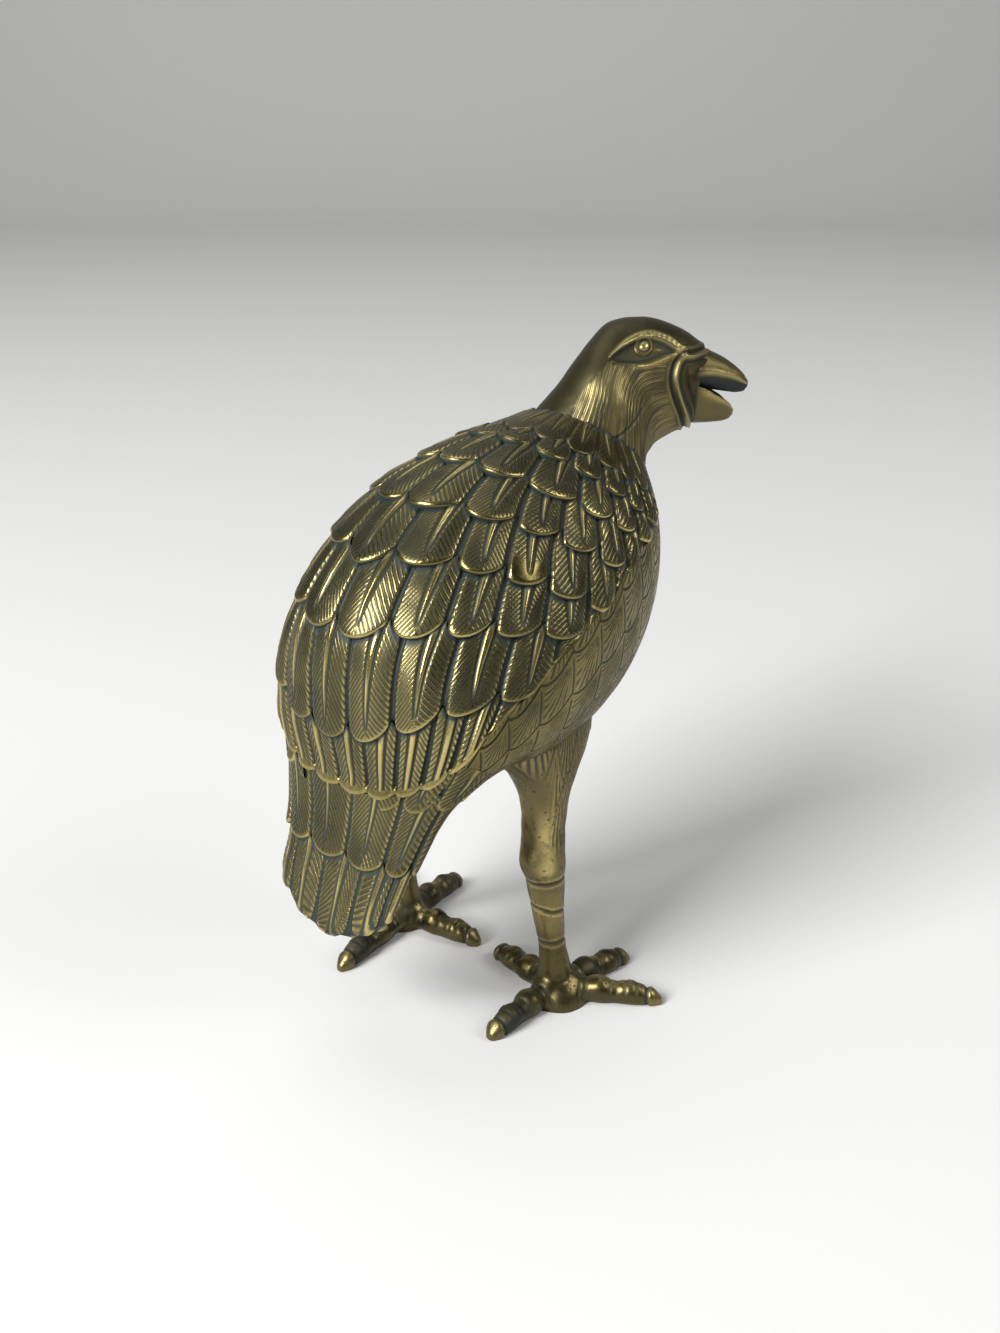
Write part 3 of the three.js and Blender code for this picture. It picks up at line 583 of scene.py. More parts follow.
def featherBand(rows, rowIndex, layout, angle, high, highBase, spacing, look, plain, fade=1.0, free=0.0):
    # One row of feathers as a grid from the tips (row 0) to the next row's edge; it sinks away at its
    # sides by fade, and at its roots where nothing lies over them (free)
    row = rows[rowIndex]
    base = rowBase(row, angle)
    high = np.minimum(high, neckStation)
    low = np.clip(rowEdge(layout, row, rowIndex, angle), 0, high)
    reach = np.linalg.norm(bareBody(np.median(high)[None], np.array([1.0]))
                           - bareBody(np.median(low)[None], np.array([1.0])))
    share = np.linspace(0, 1, max(int(reach / spacing), 12))[:, None] ** 1.12
    station = low + (high - low) * share
    spread = np.broadcast_to(angle, station.shape)
    points, outward, perRadian, perStation = bodyFrame(station, spread)
    step = np.linalg.norm(np.diff(points, axis=0), axis=-1)
    fromTip = np.vstack([np.zeros((1, len(angle))), np.cumsum(step, axis=0)])
    toRoot = fromTip[-1] - fromTip
    slope = np.gradient(low) * perStation[0] / (np.gradient(angle) * perRadian[0] + 1e-9)
    steep = 1 / np.sqrt(1 + np.minimum(np.abs(slope), 3) ** 2)
    fromEdge = fromTip * (steep + (1 - steep) * np.clip(fromTip / 4, 0, 1))
    leaned = flatAngle(station, spread) * (1 + row["lean"] * (station - base))
    across, number = featherAcross(layout, row, rowIndex, leaned)
    narrow = (layout(row, leaned + 0.01) - layout(row, leaned - 0.01)) / 0.02
    width = perRadian / np.maximum(narrow, 0.3)
    rng = np.random.default_rng(11 + rowIndex)
    sway, loft, slant, pace, shift, offset = rng.uniform(-1, 1, (6, 128))[:, (number + 40) % 128]
    up = fromTip + (low - (base - look["scallop"])) * perStation[0]  # from the level of the tips
    length = (highBase - (base - look["scallop"])) * perStation.mean(0)
    x = across * width - look["shift"] * shift - look["sway"] * sway * up
    side = np.abs(x)
    edgeAway = width / 2 - np.abs(across) * width
    lift = row["lift"] * (1 + look["variety"] * loft)
    chasing = row.get("chasing", 1) * plain(points)
    jointShare = row.get("joints", 1)
    drop = look["jointDrop"] * jointShare * np.abs(2 * across) ** 2.2
    height = look["rootLift"] + lift * (1 - 0.85 * share ** 0.9) * (1 - drop)
    height = height + look["pillow"] * jointShare * (1 - (2 * across) ** 2) * (1 - 0.5 * share)
    joint = smoothStep(look["jointWidth"], 0.3, edgeAway) * plain(points) * jointShare
    height = height - look["jointDepth"] * joint
    nose = 1 - np.clip(fromEdge / look["tipRound"], 0, 1)
    height = height - 0.6 * lift * (1 - np.sqrt(1 - nose ** 2))
    # shaft: a wedge between two grooves that meet before the tip
    grown = np.clip((up - look["wedgeStart"]) / np.maximum(length - look["wedgeStart"], 2), 0, 1)
    half = look["wedgeWidth"] / 2 * grown ** 0.8
    grooveHalf = 0.24 + 0.2 * grown
    starting = smoothStep(look["wedgeStart"] - 0.8, look["wedgeStart"] + 0.8, up) * chasing
    wedge = smoothStep(half + 0.15, half - 0.15, side) * starting * smoothStep(0, 0.2, grown)
    groove = bell(side - half - grooveHalf * 0.8, grooveHalf) * starting
    height = height + look["wedgeLift"] * wedge * (0.4 + 0.6 * grown)
    height = height - look["grooveDepth"] * groove * (0.45 + 0.55 * grown)
    # barbs: straight cuts running outwards and towards the tip
    wander = ripple(points[..., 0] + points[..., 2], points[..., 1] - points[..., 2], 2.2, 5)
    barbAngle = look["barbAngle"] * (1 + look["variety"] * slant)
    phase = (up * np.sin(barbAngle) + side * np.cos(barbAngle)) / (look["barbStep"] * (1 + 0.1 * pace))
    phase = phase + offset + 0.1 * wander
    border = look["border"] * (1 + 0.3 * wander)
    where = smoothStep(0, 0.25, side - half - 1.6 * grooveHalf * (grown > 0))
    where = where * smoothStep(border - 0.25, border + 0.15, edgeAway)
    where = where * smoothStep(border, border + 0.5, fromEdge) * chasing
    if "worn" in row:
        _, wornNumber = featherAcross(layout, row, rowIndex, np.radians([row["worn"]]))
        rest = 1 - smoothStep(look["wornTo"], look["wornTo"] - 2, up) * (number == wornNumber[0])
        where, groove, wedge = where * rest, groove * rest, wedge * rest
    sunk = fade * (1 - free * smoothStep(0.6, 1.0, share))
    height = (height + look["unevenness"] * toolMarks(points, 3.5, 8)) * sunk
    calm = softened(height, 0.6 / spacing, 0.6 / spacing)
    cavity = np.clip((calm - height) / 0.16, 0, 1)
    crest = np.clip((height - calm) / 0.14, 0, 1)
    barbs = cutLine(phase, look["barbFineness"]) * where
    height = height - look["barbDepth"] * barbs * sunk
    under = smoothStep(look["band"] * (1 + 0.35 * wander), 0.4, toRoot) * (1 - free)
    patina = np.maximum.reduce([0.95 * groove, joint, under, 0.8 * cavity * (1 - wedge), 0.55 * barbs]) * sunk
    # the bright colour on crests, tips, shaft and edges is partly wear and partly a painted highlight
    atTip = smoothStep(1.3, 0.2, fromEdge) * (1 - joint)
    edges = bell(edgeAway - 0.8, 0.35) * (1 - under)
    rubbedAndSheen = smoothStep(-0.5, 0.6, toolMarks(points, 9.0, 14))
    # a painted highlight on the middles of some feathers
    paintedSheen = look["paintedSheenLevel"] * rubbedAndSheen * (0.5 + 0.5 * slant) * (1 - (2 * across) ** 2) * (1 - np.clip(patina, 0, 1))
    polishAndSheen = look["crestShine"] * crest * (1 - barbs) + (0.12 + look["tipShine"] * rubbedAndSheen) * atTip
    polishAndSheen = polishAndSheen + look["shaftShine"] * wedge + look["edgeShine"] * edges + paintedSheen
    # wall under the tips, hidden by the row below
    wall = points[:1] - 0.6 * outward[:1]
    grid = np.concatenate([wall, points + outward * height[..., None]])
    first = np.ones((1, len(angle)))
    masks = {"patina": np.concatenate([first, patina]), "polishAndSheen": np.concatenate([0 * first, polishAndSheen]),
             "strand": np.concatenate([phase[:1], phase]), "strandDepth": np.concatenate([0 * first, where])}
    return grid, masks


def coverSigned(points):
    x, y, z = points[..., 0], points[..., 1], points[..., 2]
    o = neckOpening
    hole = ((x - o["centreX"]) / o["reachBack"]) ** 2 + (y / o["halfWidth"]) ** 2 - 1
    return np.minimum.reduce([z - rimHeight(x), 5 * hole, rimFront - x])


def aboveRim(points):
    # the band along the cover's rim is left plain
    return smoothStep(0.4, 1.1, points[..., 2] - rimHeight(points[..., 0]))


coverGrid = {"spacing": 0.22, "widest": 112.0, "columns": 601}
coverAngles = np.radians(np.linspace(-coverGrid["widest"], coverGrid["widest"], coverGrid["columns"]))
rimOuter, openingOuter = np.full((2, len(coverAngles), 3), np.nan)
topEdge = np.full(len(coverAngles), neckStation)
for rowIndex in range(len(coverRows)):
    following = coverRows[rowIndex + 1] if rowIndex + 1 < len(coverRows) else None
    high = rowEdge(coverNumber, following, rowIndex + 1, coverAngles) if following else topEdge
    highBase = rowBase(following, coverAngles) if following else topEdge
    grid, masks = featherBand(coverRows, rowIndex, coverNumber, coverAngles, high, highBase,
                              coverGrid["spacing"], feather, aboveRim)
    masks["polishAndSheen"] = masks["polishAndSheen"] + 0.35 * (1 - aboveRim(grid))
    masks["patina"] = masks["patina"] * (0.3 + 0.7 * aboveRim(grid))
    signed = coverSigned(grid)
    lowEdge, highEdge = clippedPiece("cover_feather_row_%d" % (rowIndex + 1), grid, signed, masks, onCover, chased)
    fresh = known(lowEdge) & ~known(rimOuter) & (signed[-1] > 0)
    rimOuter[fresh] = lowEdge[fresh]
    openingOuter[known(highEdge)] = highEdge[known(highEdge)]
print("cover feathers made")


def innerSkin(name, angles, stations, signedAt, home):
    station, angle = np.meshgrid(stations, angles, indexing="ij")
    points, outward, _, _ = bodyFrame(station, angle)
    points = points - outward * shell["wall"]
    soot = 0.5 + 0.4 * toolMarks(points, 9, 21)
    return clippedPiece(name, points, signedAt(points), {"patina": soot, "polishAndSheen": 0 * soot}, home, smoked, True)


innerEvery = 4  # the inside has one column for every four outside
rimInner, openingInner = innerSkin("cover_inside", coverAngles[::innerEvery], np.linspace(1.6, neckStation, 100),
                                   coverSigned, onCover)
ribbon("cover_rim", rimOuter[::innerEvery], rimInner, onCover, chased)
ribbon("cover_neck_edge", openingOuter[::innerEvery], openingInner, onCover, chased)
print("cover inside made")


# Tail, belly and breast

tail = dict(feather, tipRound=1.0, jointDepth=0.45, jointWidth=0.6, wedgeWidth=1.3, wedgeLift=0.2,
            grooveDepth=0.3, border=0.5, band=1.3, pillow=0.3)
tailTop, tailSpacing = 3.35, 0.25
tailAngles = np.radians(np.linspace(-180, 180, 520, endpoint=False))


def wholePiece(points):
    return np.ones(points.shape[:-1])


def bowlSigned(points):
    x, z = points[..., 0], points[..., 2]
    return np.where(x > rimFront + shell["seatGap"], 1.0, rimHeight(x) - shell["seatGap"] - z)


highTail = tailRows[1]
tailTips = rowEdge(tailNumber, highTail, 1, tailAngles)
topEdge = np.full(len(tailAngles), tailTop)
for rowIndex, high, highBase in ((0, tailTips, rowBase(highTail, tailAngles)), (1, topEdge, topEdge + 0.6)):
    name = "tail_feather_row_%d" % (rowIndex + 1)
    free = smoothStep(1.65, 1.85, np.abs(tailAngles)) * rowIndex
    grid, masks = featherBand(tailRows, rowIndex, tailNumber, tailAngles, high, highBase, tailSpacing, tail,
                              wholePiece, 1.0, free)
    if rowIndex == 0:
        outer = 16.5 * (1 - np.abs(np.sin(tailAngles))) + 0 * grid[..., 0]
        masks["strandDepth"] = masks["strandDepth"] * smoothStep(0.5, 1.1, outer)
        masks["polishAndSheen"] = masks["polishAndSheen"] + 0.5 * smoothStep(0.9, 0.3, outer)
        rim = grid[1]
        heart = rim.mean(0)
        cap = np.stack([heart + (rim - heart) * s for s in (0.0, 0.35, 0.7, 0.92)])
        grid = np.concatenate([cap, grid[1:]])
        for mask in masks:
            filler = {"patina": 0.3, "polishAndSheen": 0.3}.get(mask, 0)
            masks[mask] = np.concatenate([np.full((len(cap), len(tailAngles)), filler), masks[mask][1:]])
        makePiece(name, grid, gridFaces(*grid.shape[:2], closed=True), masks, onBowl, chased)
    else:
        grid = np.concatenate([grid, grid[:, :1]], axis=1)
        masks = {mask: np.concatenate([values, values[:, :1]], axis=1) for mask, values in masks.items()}
        clippedPiece(name, grid, bowlSigned(grid), masks, onBowl, chased)

flank = {"from": 32, "to": 109, "columns": 190, "top": 4.0}
for name, low, high in (("flank_feathers_right", -flank["to"], -flank["from"]),
                        ("flank_feathers_left", flank["from"], flank["to"])):
    angles = np.radians(np.linspace(low, high, flank["columns"]))
    fade = smoothStep(0, 0.2, math.radians(flank["to"]) - np.abs(angles))
    free = smoothStep(1.15, 1.3, np.abs(angles))
    ending = np.full(len(angles), flank["top"])
    grid, masks = featherBand(tailRows, 2, underRimNumber, angles, ending, ending + 0.2, tailSpacing, tail,
                              wholePiece, fade, free)
    clippedPiece(name, grid, bowlSigned(grid), masks, onBowl, chased)

# Net of scales: each is a cell of a slanting lattice, its tip at the lower rear corner. In stations and
# in radians away from the spine: a tip, the way along a chain of tips, the way to the chain outside it
scales = {
    "tip": (5.71, math.radians(95.8)), "chain": (0.58, math.radians(3)), "aside": (-0.42, math.radians(12.4)),
    "bulge": 0.2, "lineWidth": 0.17, "depth": 0.2, "fanDepth": 0.14, "fanStep": math.radians(5.6),
    "fanFineness": 0.4, "unevenness": 0.05, "underTail": 0.35, "shine": 0.2, "shineVaries": 0.12,
}


def scaleRelief(station, angle, perRadian, perStation):
    away = np.abs(angle) - scales["tip"][1]
    ahead = station - scales["tip"][0]
    (c0, c1), (a0, a1) = scales["chain"], scales["aside"]
    cell = c0 * a1 - c1 * a0
    p = (ahead * a1 - away * a0) / cell
    q = (away * c0 - ahead * c1) / cell
    share = p - np.floor(p)
    q = q - scales["bulge"] * np.sin(np.pi * share ** 0.8)
    rows = q - np.floor(q)
    sizes = perRadian * perStation * abs(cell)
    chainAway = np.abs(q - np.round(q)) * sizes / np.hypot(c0 * perStation, c1 * perRadian)
    sideAway = np.abs(p - np.round(p)) * sizes / np.hypot(a0 * perStation, a1 * perRadian)
    sideAway = sideAway + 0.4 * smoothStep(0.25, 0.0, rows)
    nearest = np.minimum(chainAway, sideAway)
    line = smoothStep(1.6, 0.6, nearest / scales["lineWidth"])
    # lines fan out from the upper front corner
    alongBody = (-(1 - share) * c0 + rows * a0) * perStation
    aroundBody = (-(1 - share) * c1 + rows * a1) * perRadian
    fan = np.arctan2(-aroundBody, -alongBody) / scales["fanStep"]
    depth = smoothStep(0.5, 1.1, nearest) * smoothStep(2.2, 4.5, np.hypot(alongBody, aroundBody))
    return line, fan, depth


def bellyGrid(name, angles, stations, signedAt):
    station, angle = np.meshgrid(stations, angles, indexing="ij")
    points, outward, perRadian, perStation = bodyFrame(station, angle)
    wrapped = (angle + np.pi) % (2 * np.pi) - np.pi
    line, fan, depth = scaleRelief(station, wrapped, perRadian, perStation)
    pastTail = smoothStep(tailTop, tailTop + 0.25, station)
    broken = smoothStep(-0.6, 0.0, ripple(np.round(fan) * 2.3, station * 6, 1.0, 35))
    line, depth = line * pastTail, depth * pastTail * (0.25 + 0.75 * broken)
    strokes = cutLine(fan, scales["fanFineness"]) * depth
    height = scales["unevenness"] * toolMarks(points, 4, 33) - scales["underTail"] * (1 - pastTail)
    height = height - scales["depth"] * line - scales["fanDepth"] * strokes
    shine = scales["shine"] + scales["shineVaries"] * toolMarks(points, 6, 31)
    masks = {"patina": np.maximum(0.75 * line, 0.5 * strokes), "polishAndSheen": np.clip(shine, 0, 1) * (1 - line),
             "strand": fan, "strandDepth": depth}
    grid = points + outward * height[..., None]
    return clippedPiece(name, grid, signedAt(grid), masks, onBowl, chased)


# The bowl's grids: degrees round the body from the spine over the left, and stations along it
bowl = {
    "around": {"belly_right": (180, 235), "side_right": (235, 290),
               "side_left": (70, 125), "belly_left": (125, 180)},
    "from": 2.9, "columns": 193, "rows": 400, "innerRows": 100,
    "rearReach": 72, "rearFrom": 2.5, "rearTo": 6.5, "rearColumns": 241, "rearRows": 110, "rearInnerRows": 60,
    "rimOutwards": 0.3,  # out to the tail feathers that lie on the bowl at the rear
    "shoulders": {"shoulder_left": (84, 124), "shoulder_right": (-124, -84)},
    "shoulderFrom": 8.6, "shoulderInnerFrom": 8.2, "shoulderColumns": 131, "shoulderRows": 110,
    "shoulderInnerRows": 60, "shoulderDown": 0.4,
}


for name, (low, high) in bowl["around"].items():
    angles = np.radians(np.linspace(low, high, bowl["columns"]))
    _, outer = bellyGrid(name, angles, np.linspace(bowl["from"], neckStation, bowl["rows"]), bowlSigned)
    _, inner = innerSkin(name + "_inside", angles[::innerEvery],
                         np.linspace(shell["cavityFrom"], neckStation, bowl["innerRows"]), bowlSigned, onBowl)
    if name.startswith("side"):  # the belly's two ends lie below the rim
        ribbon(name + "_rim", outer[::innerEvery], inner, onBowl, chased)
rearAngles = np.radians(np.linspace(-bowl["rearReach"], bowl["rearReach"], bowl["rearColumns"]))
bellyGrid("rear_of_bowl", rearAngles, np.linspace(bowl["rearFrom"], bowl["rearTo"], bowl["rearRows"]), bowlSigned)
station, angle = np.meshgrid(np.linspace(shell["cavityFrom"], bowl["rearTo"], bowl["rearRows"]),
                             rearAngles[::innerEvery], indexing="ij")
points, outward, _, _ = bodyFrame(station, angle)
points = points + bowl["rimOutwards"] * outward
_, _, _, rearOuter = clipColumns(points, bowlSigned(points))
stations = np.linspace(shell["cavityFrom"], bowl["rearTo"], bowl["rearInnerRows"])
_, rearInner = innerSkin("rear_inside", rearAngles[::innerEvery], stations, bowlSigned, onBowl)
ribbon("rear_rim", rearOuter, rearInner, onBowl, chased)


def shoulderSigned(points):
    x, z = points[..., 0], points[..., 2]
    gap = shell["seatGap"]
    return np.where(z > rimHeight(x) - gap - bowl["shoulderDown"], x - rimFront - gap, -1.0)


for name, (low, high) in bowl["shoulders"].items():
    angles = np.radians(np.linspace(low, high, bowl["shoulderColumns"]))
    stations = np.linspace(bowl["shoulderFrom"], neckStation, bowl["shoulderRows"])
    outer, _ = bellyGrid(name, angles, stations, shoulderSigned)
    stations = np.linspace(bowl["shoulderInnerFrom"], neckStation, bowl["shoulderInnerRows"])
    inner, _ = innerSkin(name + "_inside", angles[::2], stations, shoulderSigned, onBowl)
    ribbon(name + "_edge", outer[::2], inner, onBowl, chased)
print("tail, belly and breast made")


# Neck and head

headStations = np.array([
    (27.2, 0, 131.2, 52.3, 0, 113, 14.8, 0),
    (31.9, -0.6, 136.6, 53, -2.4, 116.6, 13.6, -12),
    (36.5, -0.4, 142, 54.6, -4.9, 119, 12.6, -24),
    (42.5, 0.4, 146.4, 56.6, -6.3, 120.8, 12, -33),
    (49.5, 0.7, 149.6, 59.7, -7.2, 121.8, 11.9, -40),
    (57.5, -3.5, 150, 62.5, -8.2, 122.8, 11.4, -42),
    (63.5, -8.8, 147.4, 65.4, -10.5, 124.2, 9.8, -42),
    (68, -12.9, 143.2, 66, -11.2, 126.6, 7, -42),
])
headCentre = np.array([57, -3, 137.0])
headTurn = math.radians(-42)
headAhead = np.array([math.cos(headTurn), math.sin(headTurn), 0])
headLeft = np.array([-math.sin(headTurn), math.cos(headTurn), 0])


def headPoint(station, angle):
    v = smoothAt(headStations, station)
    back, throat = v[..., 0:3], v[..., 3:6]
    turn = np.radians(v[..., 7])
    left = np.stack([-np.sin(turn), np.cos(turn), 0 * turn], -1)
    return ((back + throat) / 2 + (back - throat) / 2 * np.cos(angle)[..., None]
            + left * (v[..., 6] * np.sin(angle))[..., None])


def nearLine(f, u, points, count=60):
    # distance to a smooth line in the head's plane, and the side of it that a place is on
    line = smoothAt(points, np.linspace(0, len(points) - 1, count))
    best = np.full(f.shape, 1e9)
    sign = np.zeros(f.shape)
    for a, b in zip(line[:-1], line[1:]):
        d = b - a
        s = np.clip(((f - a[0]) * d[0] + (u - a[1]) * d[1]) / (d @ d), 0, 1)
        away = np.hypot(f - a[0] - s * d[0], u - a[1] - s * d[1])
        closer = away < best
        best = np.where(closer, away, best)
        sign = np.where(closer, np.sign(d[0] * (u - a[1]) - d[1] * (f - a[0])), sign)
    return best, sign


def pressMarks(relief, marks, masks):
    # adds marks to height, patina and polish, each by its own amounts where its mask is
    for name, mask in masks.items():
        for layer, amount in zip(("height", "patina", "polishAndSheen"), marks[name]):
            relief[layer] = relief[layer] + amount * mask


# Lines of the face as seen square to its side, ahead of the head's centre and up, in mm
head = {
    "seenAhead": 0.199, "seenDown": 0.189,
    "band": [(16.4, 5.2), (12.2, 3.7), (9.6, 3.4), (8.4, 1.3), (8.0, -1.8), (9.0, -5.7), (10.6, -9.7),
             (11.6, -13.2)],
    "brow": [(-7.0, 3.9), (-4.5, 6.6), (-2.2, 8.1), (0, 8.8), (2.4, 8.8), (5.6, 7.6), (8.1, 5.9), (9.6, 4.7)],
    "socketTop": [(-8.4, 3.1), (-6.2, 5.1), (-4, 6.5), (-1.5, 7.6), (1.5, 7.9), (4.6, 7.0), (7.4, 5.3),
                  (8.8, 4.5)],
    "socketBottom": [(-8.4, 3.1), (-4.2, 2.9), (-1.3, 2.5), (1.6, 3.0), (4.5, 4.0), (7.2, 4.5), (8.8, 4.5)],
    "lid": [(-1.2, 1.5), (1.2, 1.7), (3.8, 2.6), (6.2, 3.6), (8.2, 4.2)],
    "napeGroove": [(-8.0, 3.3), (-9.4, 1.1), (-11.7, -1.4), (-14.1, -4.2), (-15.7, -7.6), (-17.2, -12.0)],
    "neckGroove": [(-8.6, -17.4), (-7.5, -16.1), (-5.1, -14.2), (-2.7, -12.3), (-0.8, -9.9), (0.1, -8.0)],
    "eye": (0.2, 6.3), "pupil": 1.2, "ball": 2.3, "tear": (3.4, -0.9), "strands": 176,
    "smoothTo": -7.2,  # the nape's groove ends the strands behind this
    "columns": 430, "rows": 190,
}
# Marks of the face: height in mm, patina, and polish that is partly a painted highlight
faceMarks = {
    "ridge": (0.6, 0, 0.6), "trench": (-0.4, 0.95, 0), "beakRoot": (-1.6, 0, 0), "brow": (0.65, 0, 0.85),
    "socket": (-0.6, 0, 0), "stipple": (-0.12, 0.35, 0), "ball": (0.75, 0, 0), "ballTop": (0, 0, 0.4),
    "pupil": (0.4, 0, 0.7), "ring": (-0.3, 0.8, 0), "socketRim": (0, 0.75, 0), "socketFloor": (0, 0.3, 0),
    "tear": (0.4, 0, 0.6), "lid": (0.4, 0, 0.75), "strand": (-0.16, 0, 0), "dimStreak": (0, 0.45, 0),
    "cheek": (0, 0, 0.22), "cheekCloud": (0, 0, 0.15), "cheekStreak": (0, 0, 0.2), "nape": (-0.12, 0.5, 0),
    "groove": (-0.35, 0.9, 0), "bareCloud": (0, 0.12, 0), "unevenness": (0.05, 0, 0),
}


def headRelief(points, outward, station, angle):
    relief = dict.fromkeys(("height", "patina", "polishAndSheen"), 0)
    local = points - headCentre
    aside = np.abs(local @ headLeft)
    f = local @ headAhead + head["seenAhead"] * aside
    u = local[..., 2] - head["seenDown"] * aside
    flank = smoothStep(0.2, 0.6, np.abs(outward @ headLeft))
    # band behind the beak: a ridge between two trenches
    away, sign = nearLine(f, u, head["band"])
    ahead = np.where(sign > 0, away, -away)
    reach = smoothStep(7.5, 6.0, u)
    pressMarks(relief, faceMarks, {
        "ridge": (bell(ahead, 0.5) + 0.5 * bell(ahead + 2.1, 0.4)) * reach,
        "trench": (bell(ahead + 1.15, 0.42) + 0.9 * bell(ahead - 1.2, 0.45)) * reach,
        "beakRoot": smoothStep(1.6, 4.5, ahead) * reach,
    })
    # socket between brow and lower lid
    topAway, topSign = nearLine(f, u, head["socketTop"])
    lowAway, lowSign = nearLine(f, u, head["socketBottom"])
    below, above = -topSign * topAway, lowSign * lowAway
    socket = smoothStep(-0.2, 0.35, below) * smoothStep(-0.2, 0.35, above) * flank
    socket = socket * smoothStep(-9.0, -8.0, f) * smoothStep(9.4, 8.6, f)
    away, _ = nearLine(f, u, head["brow"])
    stipple = smoothStep(0.55, 0.95, 0.5 + 0.5 * np.cos(f * 5.2)) * bell(away - 0.1, 0.3) * (f > -1.5)
    ef, eu = f - head["eye"][0], u - head["eye"][1]
    r = np.hypot(ef, eu)
    ball, pupil = (np.sqrt(np.clip(1 - (r / head[part]) ** 2, 0, 1)) * flank for part in ("ball", "pupil"))
    ring = bell(r - head["pupil"] - 0.15, 0.2) * flank
    pressMarks(relief, faceMarks, {
        # the brow ridge's polish is wear with a painted highlight along it
        "brow": smoothStep(1.3, 0.35, away) * flank * (1 - socket), "socket": socket, "stipple": stipple * flank,
        "ball": ball, "ballTop": ball * (1 - ring), "pupil": pupil, "ring": ring,
        "socketRim": socket * smoothStep(0.9, 0.15, np.minimum(below, above)) * (1 - pupil),
        "socketFloor": socket * (1 - ball) * smoothStep(2.2, 3.4, r),
    })
    tear = bell(np.hypot(ef - head["tear"][0], (eu - head["tear"][1]) * 1.4), 0.75) * flank
    relief["patina"] = relief["patina"] * (1 - 0.8 * tear)
    away, _ = nearLine(f, u, head["lid"])
    pressMarks(relief, faceMarks, {"tear": tear, "lid": bell(away, 0.6) * flank})
    # strands of the neck and cheek; the crown and nape are smooth
    away, sign = nearLine(f, u, head["napeGroove"])
    cheekward = np.where(sign > 0, away, -away)
    rear = f < head["smoothTo"]
    lower = smoothStep(-0.2, 0.4, np.where(rear, cheekward, 9))
    behindBand = smoothStep(-2.2, -3.0, ahead)
    belowEye = smoothStep(0.3, 1.2, 2.6 - 0.02 * (f + 7) - u) * behindBand
    underLid = smoothStep(0.2, 1.0, 1.2 + 0.38 * f - u) * smoothStep(-2.4, -3.0, ahead)
    cheek = np.where(rear, lower, np.where(f > 0, underLid, belowEye)) * behindBand
    phase = angle * head["strands"] / (2 * np.pi) + 0.15 * ripple(station * 1.5, angle * 6, 1.0, 41)
    strand = cheek * (0.45 + 0.55 * smoothStep(-0.7, 0.0, ripple(station * 2, angle * 28, 1.0, 43)))
    streak = ripple(station * 0.6, angle * 26, 1.0, 45)
    nape = bell(cheekward, 0.4) * flank * smoothStep(-18, -16, u) * smoothStep(4, 2.5, u)
    away, _ = nearLine(f, u, head["neckGroove"])
    pressMarks(relief, faceMarks, {
        "strand": cutLine(phase) * strand, "dimStreak": cheek * smoothStep(0.45, 0.8, -streak),
        "cheek": cheek, "cheekCloud": cheek * ripple(f, u, 6.0, 47), "cheekStreak": cheek * streak,
        "nape": nape * smoothStep(-0.3, 0.5, ripple(f, u, 2.4, 49)), "groove": bell(away, 0.45) * flank,
        "bareCloud": (1 - cheek) * (0.5 + 0.5 * ripple(f, u, 5, 51)),
        "unevenness": ripple(f, u * 1.3, 2.5, 53),
    })
    return relief["height"], {"patina": relief["patina"], "polishAndSheen": relief["polishAndSheen"], "strand": phase,
                              "strandDepth": strand}


def roundGrid(rows, columns, last):
    # stations and angles of a piece that closes round
    angles = np.linspace(0, 2 * np.pi, columns, endpoint=False)
    return np.meshgrid(np.linspace(0, last, rows), angles, indexing="ij")


lastStation = len(headStations) - 1
station, angle = roundGrid(head["rows"], head["columns"], lastStation)
outward = unit(np.cross(*slopes(headPoint, station, angle, lastStation)))
surface = headPoint(station, angle)
height, masks = headRelief(surface, outward, station, angle)
grid = surface + outward * height[..., None]
closing = [grid[-1].mean(0) + (grid[-1] - grid[-1].mean(0)) * s for s in (0.8, 0.4, 0.0)]
root = surface[0] - 3.2 * unit(surface[1] - surface[0]) + (surface[0].mean(0) - surface[0]) * 0.06
grid = np.concatenate([root[None], grid, np.stack(closing)])
ends = {"patina": (0.8, 1)}  # masks below the neck's first ring and over the closed front
for mask, values in masks.items():
    low, high = ends.get(mask, (0, 0))
    masks[mask] = np.concatenate([values[:1] * 0 + low, values, np.full((len(closing), head["columns"]), high)])
makePiece("neck_and_crown", grid, gridFaces(*grid.shape[:2], closed=True), masks, onHead, cast)

# Beak: ahead, outer ridge, cutting edge, inner side, half width
beak = {
    "upper": [(7.5, 6.2, 0.8, -3.4, 7.0), (10, 6.6, 0.9, -3.5, 6.9), (12.5, 6.4, 0.9, -3.6, 6.3),
              (16, 5.0, 0.7, -4.1, 5.4), (19.5, 3.3, -0.1, -4.7, 4.5), (22.5, 1.2, -1.2, -5.1, 3.4),
              (24.4, -0.6, -2.3, -4.9, 2.4), (25.1, -1.7, -2.8, -4.3, 1.5)],
    "lower": [(7.5, -12.1, -2.0, -3.4, 6.9), (10, -12.2, -1.9, -3.4, 6.6), (12.5, -12.3, -2.4, -4.0, 6.0),
              (15, -12.3, -3.5, -5.2, 5.2), (17.5, -12.2, -5.0, -6.5, 4.3), (19.7, -12.0, -6.3, -7.5, 3.4),
              (21.1, -11.6, -7.6, -8.4, 2.6), (21.8, -11.0, -8.6, -9.1, 1.7)],
    "rows": 110, "columns": 128, "nostril": (12.8, 2.2), "tip": [(0.8, 0.3), (0.45, 0.5), (0.0, 0.55)],
}


